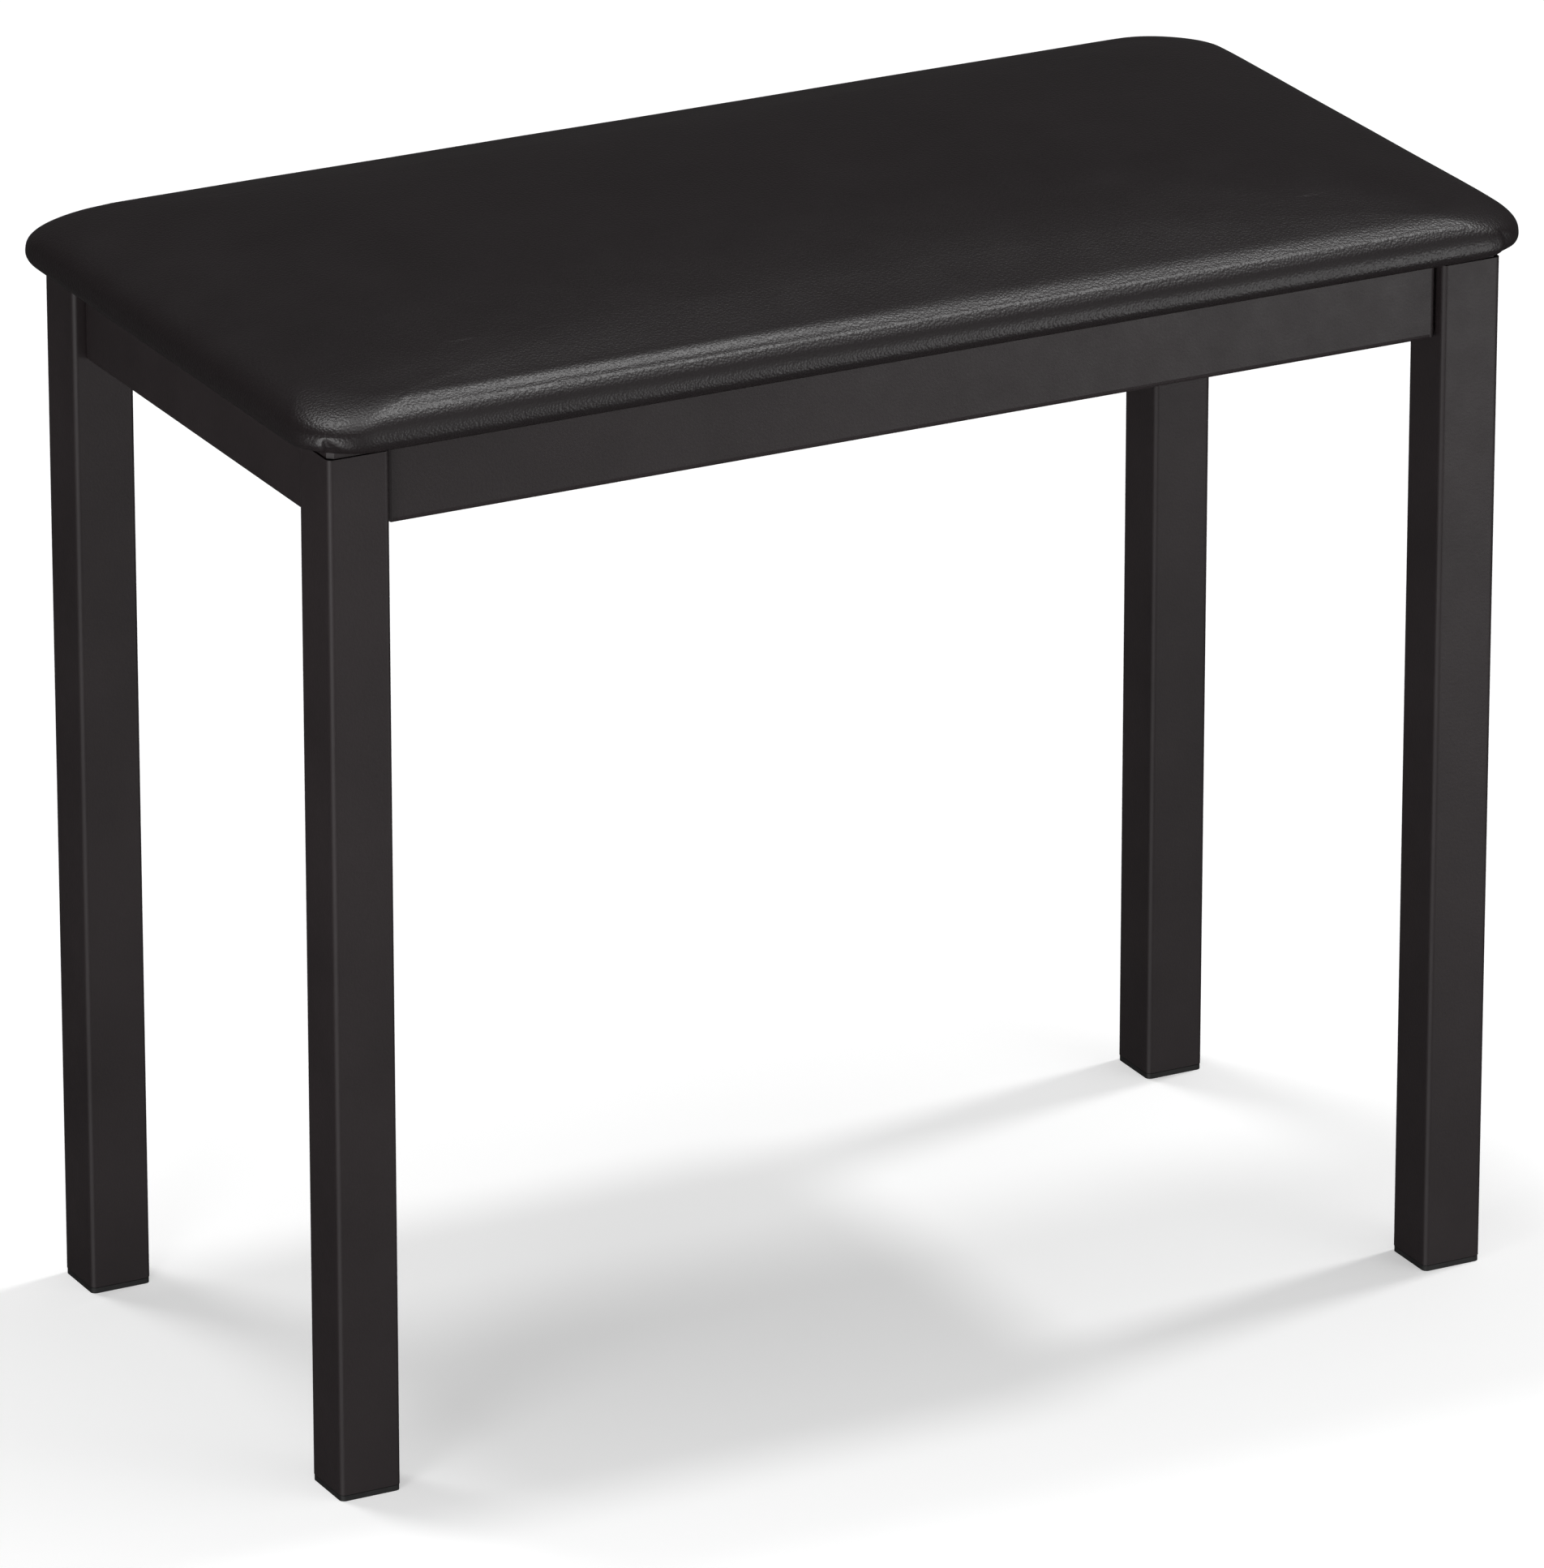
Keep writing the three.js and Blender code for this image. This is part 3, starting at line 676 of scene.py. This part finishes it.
def make_staples():
    """The zinc staples that hold the dust cover and the seat cover's margin."""
    cloth_z = CLOTH_BOTTOM - STAPLE_WIRE / 2
    cover_z = PAD_BOTTOM - STAPLE_WIRE / 2
    rows = staple_row(CLOTH_HALF[1] - STAPLE_IN, CLOTH_REACH[0], cloth_z, True)
    rows += staple_row(CLOTH_HALF[0] - STAPLE_IN, CLOTH_REACH[1], cloth_z, False)
    rows += staple_row(COVER_STAPLES[0], COVER_REACH[0], cover_z, True)
    rows += staple_row(COVER_STAPLES[1], COVER_REACH[1], cover_z, False)
    o, a = STAPLE_WIRE / 2, STAPLE_WIDTH / 2
    section = [(o, a / 2), (o / 2, a), (-o / 2, a), (-o, a / 2)]
    section += [(-u, -v) for u, v in section]
    points, faces = [], []
    for at, along_x in rows:
        shift = Vector((noise.noise(at * 300), noise.noise(at * 310), 0)) * STAPLE_SCATTER
        across = Vector((0, 1, 0)) if along_x else Vector((-1, 0, 0))
        bar_points, bar_faces = swept(staple_path(at + shift, along_x), across, section)
        faces += [tuple(i + len(points) for i in face) for face in bar_faces]
        points += bar_points
    piece = new_object("staples", points, faces, smooth=False)
    finish_piece(piece, "zinc")
    return piece


# ---------- fasteners ----------

TURN_STEPS = 48
SOCKET_FLATS, SOCKET_DEPTH = 4 * MM, 2 * MM
HEAD_RADIUS, HEAD_HEIGHT = 5.25 * MM, 3.3 * MM
HEAD_FLAT, HEAD_EDGE = 3.1 * MM, 0.3 * MM  # radius of the flat round the socket, and the rim's height
DOME_STEPS = 8
SOCKET_EDGE = 0.2 * MM
DRILL_POINT = 0.8 * MM  # how much deeper the socket is in its middle
SHANK_RADIUS = 3 * MM
END_RADIUS = 0.02 * MM  # of the tiny ring that closes an end
WASHER_ROOM, WASHER_EDGE = 0.25 * MM, 0.2 * MM
WELD_DISTANCE = 0.03 * MM
CRISP_ANGLE = 35  # most that a new piece's faces turn, in degrees, where they are shaded as one


def hexagon(angle):
    """Distance from a hexagon's middle to its side at an angle, where its flats are 1 apart."""
    return 0.5 / math.cos((angle + math.pi / 6) % (math.pi / 3) - math.pi / 6)


def turned(profile):
    """Points and faces of a shape turned round Z, from (radius, height, hexagonal share) rings."""
    points = []
    for radius, height, share in profile:
        for k in range(TURN_STEPS):
            angle = 2 * math.pi * k / TURN_STEPS
            r = radius * (1 + share * (2 * hexagon(angle) - 1))
            points.append(Vector((r * math.cos(angle), r * math.sin(angle), height)))
    return points, ring_faces(len(profile), TURN_STEPS)


def button_head_bolt(length):
    """A button-head bolt with a hexagonal socket: its head ends at z = 0 and its shank at length."""
    half_flats = SOCKET_FLATS / 2
    profile = [(END_RADIUS, SOCKET_DEPTH + DRILL_POINT, 0), (half_flats, SOCKET_DEPTH, 1)]
    profile += [(half_flats, SOCKET_EDGE, 1), (half_flats + SOCKET_EDGE, 0, 1), (HEAD_FLAT, 0, 0)]
    for k in range(1, DOME_STEPS + 1):
        angle = math.pi / 2 * k / DOME_STEPS
        radius = HEAD_FLAT + (HEAD_RADIUS - HEAD_FLAT) * math.sin(angle)
        profile.append((radius, (HEAD_HEIGHT - HEAD_EDGE) * (1 - math.cos(angle)), 0))
    profile += [(HEAD_RADIUS - HEAD_EDGE, HEAD_HEIGHT, 0), (SHANK_RADIUS, HEAD_HEIGHT, 0)]
    profile += [(SHANK_RADIUS, length - MM, 0), (SHANK_RADIUS - MM, length, 0)]
    profile.append((END_RADIUS, length, 0))
    return turned(profile)


def make_bolt(node, axis):
    """A smooth bolt in place of a CAD one, with its head towards the bench's middle or the floor."""
    low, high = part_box(node)
    head = (low + high) / 2
    head_low = axis == 2 or head[axis] > 0
    head[axis] = low[axis] if head_low else high[axis]
    direction = Vector((0, 0, 0))
    direction[axis] = 1 if head_low else -1
    turn = direction.to_track_quat("Z", "Y")
    points, faces = button_head_bolt(high[axis] - low[axis])
    piece = new_object(f"smooth_{node}", [head + turn @ p for p in points], faces)
    sharpen(piece)
    finish_piece(piece, "black_oxide", node)


def make_washer(node):
    """A smooth washer in place of a CAD one."""
    low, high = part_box(node)
    outer, thick = (high.x - low.x) / 2, high.z - low.z
    inner, edge = SHANK_RADIUS + WASHER_ROOM, WASHER_EDGE
    profile = [(inner, edge), (inner + edge, 0), (outer - edge, 0), (outer, edge)]
    profile += [(r, thick - z) for r, z in reversed(profile)] + profile[:1]
    points, faces = turned([(r, z, 0) for r, z in profile])
    middle = (low + high) / 2
    origin = Vector((middle.x, middle.y, low.z))
    piece = new_object(f"smooth_{node}", [origin + p for p in points], faces)
    sharpen(piece)
    finish_piece(piece, "zinc", node)


def sharpen(piece):
    """Closes the piece's seams and keeps its edges crisp where its faces meet at a steep angle."""
    shape = bmesh.new()
    shape.from_mesh(piece.data)
    bmesh.ops.remove_doubles(shape, verts=shape.verts, dist=WELD_DISTANCE)
    bmesh.ops.recalc_face_normals(shape, faces=shape.faces)
    for edge in shape.edges:
        edge.smooth = len(edge.link_faces) < 2 or edge.calc_face_angle() < math.radians(CRISP_ANGLE)
    shape.to_mesh(piece.data)
    shape.free()


# ---------- materials ----------


def set_inputs(node, inputs):
    """Gives a node's inputs, by name or number, their values or the sockets that drive them."""
    for key, value in inputs.items():
        if isinstance(value, bpy.types.NodeSocket):
            node.id_data.links.new(value, node.inputs[key])
        else:
            node.inputs[key].default_value = value


def new_node(tree, kind, inputs):
    """A new node of this kind, with these inputs."""
    node = tree.nodes.new(kind)
    set_inputs(node, inputs)
    return node


def principled(name, colour, roughness, specular=0.5, metallic=0.0):
    """A new material, its shader and the socket of each point's place in metres."""
    material = bpy.data.materials.new(name)
    material.use_nodes = True
    nodes = material.node_tree.nodes
    shader = nodes["Principled BSDF"]
    inputs = {
        "Base Color": (*colour, 1),
        "Roughness": roughness,
        "Specular IOR Level": specular,
        "Metallic": metallic,
    }
    set_inputs(shader, inputs)
    return material, shader, nodes.new("ShaderNodeTexCoord").outputs["Object"]


def noise_node(place, scale, detail=3.0, roughness=0.5):
    """A noise texture's value socket, with this many features to the metre."""
    inputs = {"Vector": place, "Scale": scale, "Detail": detail, "Roughness": roughness}
    return new_node(place.id_data, "ShaderNodeTexNoise", inputs).outputs["Fac"]


def stretched(place, scale):
    """The place socket with each axis scaled by its own number."""
    inputs = {"Vector": place, "Scale": scale}
    return new_node(place.id_data, "ShaderNodeMapping", inputs).outputs["Vector"]


def voronoi_node(place, scale, feature="F1"):
    """A cell texture's distance socket, with this many cells to the metre."""
    node = new_node(place.id_data, "ShaderNodeTexVoronoi", {"Vector": place, "Scale": scale})
    node.feature = feature
    return node.outputs["Distance"]


def ramp_node(value, low, high, start=0.3, end=0.7):
    """A colour between low and high, as a value goes from start to end."""
    node = new_node(value.id_data, "ShaderNodeValToRGB", {"Fac": value})
    first, last = node.color_ramp.elements
    first.position, last.position = start, end
    first.color, last.color = (*low, 1), (*high, 1)
    return node.outputs["Color"]


def range_node(value, low, high, start=0.3, end=0.7):
    """A number between low and high, as a value goes from start to end."""
    inputs = {"Value": value, "From Min": start, "From Max": end, "To Min": low, "To Max": high}
    return new_node(value.id_data, "ShaderNodeMapRange", inputs).outputs["Result"]


def add_node(first, second):
    """The sum of a value and another value or number."""
    node = new_node(first.id_data, "ShaderNodeMath", {0: first, 1: second})
    node.operation = "ADD"
    return node.outputs[0]


def bump_node(height, distance, below=None):
    """A bumped normal's socket, for heights of 0 to 1 that stand for a distance."""
    inputs = {"Height": height, "Distance": distance}
    if below is not None:
        inputs["Normal"] = below
    return new_node(height.id_data, "ShaderNodeBump", inputs).outputs["Normal"]


def drive(shader, colour, roughness, normal):
    """Lets these sockets drive a shader's colour, roughness and normal."""
    set_inputs(shader, {"Base Color": colour, "Roughness": roughness, "Normal": normal})


def powder_coat():
    """Satin black powder coat: fine orange peel, faint clouding, and patches rubbed a little shiny."""
    material, shader, place = principled("satin_black_powder_coat", (0.024, 0.019, 0.02), 0.42, 0.3)
    cloud = noise_node(place, 14, 4)
    colour = ramp_node(cloud, (0.0198, 0.0151, 0.016), (0.0261, 0.0202, 0.0213))
    rubbed = noise_node(place, 60, 5, 0.6)
    roughness = range_node(rubbed, 0.4, 0.47)
    peel = noise_node(place, 900, 2)
    speck = noise_node(place, 3200, 1)
    rolling = bump_node(peel, 0.05 * MM)
    drive(shader, colour, roughness, bump_node(speck, 0.015 * MM, rolling))
    return material


def vinyl():
    """Black upholstery vinyl: pebble grain, fine pores and slight variation in tone and gloss."""
    material, shader, place = principled("black_vinyl_pebble_grain", (0.018, 0.014, 0.0148), 0.38, 0.4)
    cloud = noise_node(place, 18, 5)
    colour = ramp_node(cloud, (0.0128, 0.0098, 0.0104), (0.0145, 0.0111, 0.0118))
    worn = noise_node(place, 35, 4)
    roughness = range_node(worn, 0.36, 0.4)
    cells = voronoi_node(place, 950, "SMOOTH_F1")
    cells.node.inputs["Smoothness"].default_value = 0.6
    pebble = range_node(cells, 1, 0, 0.0, 0.8)
    pores = noise_node(place, 2600, 2)
    creases = noise_node(place, 620, 5, 0.7)
    creases.node.inputs["Distortion"].default_value = 1.6
    grain = bump_node(pebble, 0.11 * MM)
    creased = bump_node(creases, 0.014 * MM, grain)
    drive(shader, colour, roughness, bump_node(pores, 0.02 * MM, creased))
    return material


def moulded_plastic():
    """Black moulded plastic: a fine spark texture and slight scuffs."""
    material, shader, place = principled("moulded_black_plastic", (0.014, 0.014, 0.014), 0.52, 0.4)
    scuff = noise_node(place, 90, 6, 0.7)
    colour = ramp_node(scuff, (0.011, 0.011, 0.0112), (0.021, 0.0205, 0.0205))
    roughness = range_node(scuff, 0.46, 0.62)
    spark = bump_node(noise_node(place, 2400, 3), 0.03 * MM)
    drive(shader, colour, roughness, bump_node(scuff, 0.03 * MM, spark))
    return material


def nonwoven():
    """Black non-woven cloth: matted fibres, pressed in rows of bond dots."""
    material, shader, place = principled("black_nonwoven_cloth", (0.02, 0.019, 0.019), 0.9, 0.2)
    fibres = noise_node(stretched(place, (1.0, 2.6, 1.0)), 900, 6, 0.75)
    fibres.node.inputs["Distortion"].default_value = 1.2
    colour = ramp_node(fibres, (0.011, 0.0105, 0.0105), (0.036, 0.035, 0.035))
    roughness = range_node(fibres, 0.82, 0.97)
    dots = voronoi_node(place, 420)
    dots.node.inputs["Randomness"].default_value = 0.0
    pressed = range_node(dots, 0, 1, 0.18, 0.34)
    matted = bump_node(fibres, 0.12 * MM)
    drive(shader, colour, roughness, bump_node(pressed, 0.15 * MM, matted))
    return material


def black_oxide():
    """Oiled black oxide on steel: faint machining marks and dull patches."""
    material, shader, place = principled("black_oxide_steel", (0.035, 0.034, 0.036), 0.36, 0.5, 0.85)
    patch = noise_node(place, 420, 5, 0.6)
    colour = ramp_node(patch, (0.022, 0.021, 0.023), (0.055, 0.053, 0.055))
    roughness = range_node(patch, 0.3, 0.46)
    marks = noise_node(stretched(place, (1.0, 1.0, 9.0)), 1500, 2)
    drive(shader, colour, roughness, bump_node(marks, 0.012 * MM))
    return material


def zinc_plate():
    """Bright zinc plate: cloudy tone, fine drawing lines and small dull spots."""
    material, shader, place = principled("zinc_plate", (0.5, 0.51, 0.53), 0.34, 0.5, 1.0)
    cloud = noise_node(place, 380, 5, 0.6)
    colour = ramp_node(cloud, (0.36, 0.365, 0.38), (0.6, 0.61, 0.63))
    roughness = range_node(cloud, 0.26, 0.48)
    lines = noise_node(stretched(place, (0.3, 3.0, 3.0)), 1800, 2)
    drive(shader, colour, roughness, bump_node(lines, 0.01 * MM))
    return material


def plywood():
    """Birch plywood: long pale grain and the glue lines between its plies."""
    material, shader, place = principled("birch_plywood", (0.5, 0.36, 0.22), 0.62, 0.35)
    grain = noise_node(stretched(place, (0.12, 1.0, 1.0)), 240, 7, 0.65)
    grain.node.inputs["Distortion"].default_value = 0.8
    wood = ramp_node(grain, (0.36, 0.24, 0.135), (0.62, 0.46, 0.29))
    inputs = {"Vector": place, "Scale": 105, "Distortion": 0.4}
    plies = new_node(place.id_data, "ShaderNodeTexWave", inputs)
    plies.bands_direction = "Z"
    glue = range_node(plies.outputs["Fac"], 0, 0.45, 0.7, 0.95)
    mix = place.id_data.nodes.new("ShaderNodeMix")
    mix.data_type = "RGBA"
    set_inputs(mix, {"Factor": glue, "A": wood, "B": (0.26, 0.16, 0.085, 1)})
    roughness = range_node(grain, 0.55, 0.72)
    drive(shader, mix.outputs["Result"], roughness, bump_node(grain, 0.08 * MM))
    return material


def open_foam():
    """Cut polyurethane foam: open cells and a yellowed, uneven tone."""
    material, shader, place = principled("seat_foam_cells", (0.66, 0.6, 0.43), 0.95, 0.1)
    cloud = noise_node(place, 30, 6, 0.6)
    colour = ramp_node(cloud, (0.55, 0.48, 0.31), (0.74, 0.69, 0.53))
    roughness = range_node(cloud, 0.9, 1.0)
    cells = bump_node(voronoi_node(place, 1300), 0.35 * MM)
    fine = noise_node(place, 3500, 2)
    drive(shader, colour, roughness, bump_node(fine, 0.1 * MM, cells))
    return material


MATERIALS = {
    "black_paint": powder_coat(),
    "black_vinyl": vinyl(),
    "black_plastic": moulded_plastic(),
    "black_cloth": nonwoven(),
    "black_oxide": black_oxide(),
    "zinc": zinc_plate(),
    "plywood": plywood(),
    "foam": open_foam(),
}
SMOOTH_ANGLE = 28  # most that a CAD node's faces turn, in degrees, where they are shaded as one


def smoothing_nodes():
    """A node group that shades a mesh smoothly, apart from its steep edges."""
    group = bpy.data.node_groups.new("smooth_by_angle", "GeometryNodeTree")
    for direction in ("INPUT", "OUTPUT"):
        group.interface.new_socket("Geometry", in_out=direction, socket_type="NodeSocketGeometry")
    mesh = group.nodes.new("NodeGroupInput").outputs[0]
    angle = group.nodes.new("GeometryNodeInputMeshEdgeAngle").outputs["Unsigned Angle"]
    steep = new_node(group, "FunctionNodeCompare", {"A": angle, "B": math.radians(SMOOTH_ANGLE)})
    steep.operation = "GREATER_THAN"
    all_faces = new_node(group, "GeometryNodeSetShadeSmooth", {"Geometry": mesh})
    inputs = {
        "Geometry": all_faces.outputs["Geometry"],
        "Selection": steep.outputs["Result"],
        "Shade Smooth": False,
    }
    steep_edges = new_node(group, "GeometryNodeSetShadeSmooth", inputs)
    steep_edges.domain = "EDGE"
    end = group.nodes.new("NodeGroupOutput")
    group.links.new(steep_edges.outputs["Geometry"], end.inputs[0])
    return group


def dress_nodes():
    """Gives every CAD node the material of its slot, and smooth round edges."""
    smoothing = smoothing_nodes()
    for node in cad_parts.values():
        node.modifiers.new("smooth_by_angle", "NODES").node_group = smoothing
        for slot in node.material_slots:
            slot.material = MATERIALS[slot.name.split(".")[0]]


# ---------- stage ----------

CAMERA_PLACE = (-2.4383, -4.6523, 2.2619)
CAMERA_AZIMUTH, CAMERA_ELEVATION = -27.653, 21.201
LENS, SENSOR = 302.2, 36  # millimetres
FLOOR_HALF = 60
FLOOR_GLOW = 0.4  # how strongly it shines by itself, which keeps it pale


def make_camera():
    """The camera, far off and with a long lens, looking down on the bench's front left corner."""
    data = bpy.data.cameras.new("camera")
    data.lens = LENS
    data.sensor_width = SENSOR
    data.clip_start, data.clip_end = 0.1, 200
    camera = bpy.data.objects.new("camera", data)
    azimuth, elevation = math.radians(CAMERA_AZIMUTH), math.radians(CAMERA_ELEVATION)
    level = math.cos(elevation)
    back = Vector((math.sin(azimuth) * level, -math.cos(azimuth) * level, math.sin(elevation)))
    camera.location = CAMERA_PLACE
    camera.rotation_mode = "QUATERNION"
    camera.rotation_quaternion = (-back).to_track_quat("-Z", "Y")
    bpy.context.scene.collection.objects.link(camera)
    bpy.context.scene.camera = camera


def make_floor():
    """A plain pale floor, large enough to reach the horizon of a low view."""
    corners = [(x * FLOOR_HALF, y * FLOOR_HALF, 0) for x, y in ((-1, -1), (1, -1), (1, 1), (-1, 1))]
    floor = new_object("floor", corners, [(0, 1, 2, 3)], smooth=False)
    material, shader, _ = principled("pale_floor", (0.8, 0.8, 0.8), 0.9, 0.1)
    set_inputs(shader, {"Emission Color": (1, 1, 1, 1), "Emission Strength": FLOOR_GLOW})
    floor.data.materials.append(material)
    floor.visible_glossy = False


def make_light(name, kind, power, direction):
    """A light of this kind that shines from a direction."""
    data = bpy.data.lights.new(name, kind)
    data.energy = power
    light = bpy.data.objects.new(name, data)
    light.rotation_mode = "QUATERNION"
    light.rotation_quaternion = direction.to_track_quat("Z", "Y")
    bpy.context.scene.collection.objects.link(light)
    return light


# Each sun: its direction, its strength and the angle that it fills, in degrees.
SUNS = {
    "key": ((0.43, 0.06, 0.9), 0.88, 6),
    "corner_key": ((-0.12, 0.28, 0.95), 0.7, 10),
}


def make_sun(name, direction, strength, angle):
    """A far light that shines from a direction, as wide as this angle in degrees."""
    light = make_light(name, "SUN", strength, Vector(direction))
    light.data.angle = math.radians(angle)


# Each soft light of the studio: its direction, the cosines from its direction where it begins and
# where it is full, and its brightness.
STUDIO_LIGHTS = [
    ((0.1, -0.1, 1), 0.78, 0.97, 1.3),  # overhead
    ((0.45, -0.85, 0.15), 0.75, 0.97, 0.55),  # front right
    ((-0.75, -0.6, -0.3), 0.7, 0.95, 1.5),  # front left, low
]
STUDIO_DIM = 0.05  # brightness of the rest of the studio
BACKGROUND = 1.0

# Each near, soft light: its place, what it shines at, how wide it is and its power in watts.
NEAR_LIGHTS = {
    "near_right": ((0.85, -1.25, 0.15), (0.2, -0.14, 0.42), 0.5, 3.6),
    "near_left": ((-0.8, -0.5, 0.42), (-0.27, -0.05, 0.42), 0.3, 1.4),
}


def make_near_light(name, place, target, width, power):
    """A soft light near the bench that the camera doesn't see."""
    light = make_light(name, "AREA", power, Vector(place) - Vector(target))
    light.data.shape = "DISK"
    light.data.size = width
    light.location = place
    light.visible_camera = False


def make_world():
    """A studio of soft lights in the dark, with a pale background for the camera alone."""
    world = bpy.data.worlds.new("studio")
    world.use_nodes = True
    bpy.context.scene.world = world
    tree = world.node_tree
    direction = tree.nodes.new("ShaderNodeTexCoord").outputs["Generated"]
    total = None
    for aim, begins, full, brightness in STUDIO_LIGHTS:
        aim = Vector(aim).normalized()
        cosine = new_node(tree, "ShaderNodeVectorMath", {0: direction, 1: aim})
        cosine.operation = "DOT_PRODUCT"
        glow = range_node(cosine.outputs["Value"], 0, brightness, begins, full)
        glow.node.interpolation_type = "SMOOTHSTEP"
        total = glow if total is None else add_node(total, glow)
    total = add_node(total, STUDIO_DIM)
    seen = tree.nodes.new("ShaderNodeLightPath").outputs["Is Camera Ray"]
    mix = new_node(tree, "ShaderNodeMix", {"Factor": seen, "A": total, "B": BACKGROUND})
    tree.links.new(mix.outputs["Result"], tree.nodes["Background"].inputs["Color"])


# The three bolts at each corner, with the axis along which each lies.
BOLT_AXES = {"long_rail_bolt": 0, "side_rail_bolt": 1, "seat_bolt": 2}


def main():
    """Makes the studio, dresses the CAD's own pieces and makes the ones that replace some of them."""
    bpy.context.scene.view_settings.view_transform = "Standard"
    make_camera()
    make_floor()
    for name, sun in SUNS.items():
        make_sun(name, *sun)
    for name, light in NEAR_LIGHTS.items():
        make_near_light(name, *light)
    make_world()
    dress_nodes()
    make_cover()
    make_foam()
    make_board()
    make_dust_cover(make_staples())
    for corner in CORNERS:
        for kind, axis in BOLT_AXES.items():
            make_bolt(f"{kind}_{corner}", axis)
        make_washer(f"seat_washer_{corner}")


main()
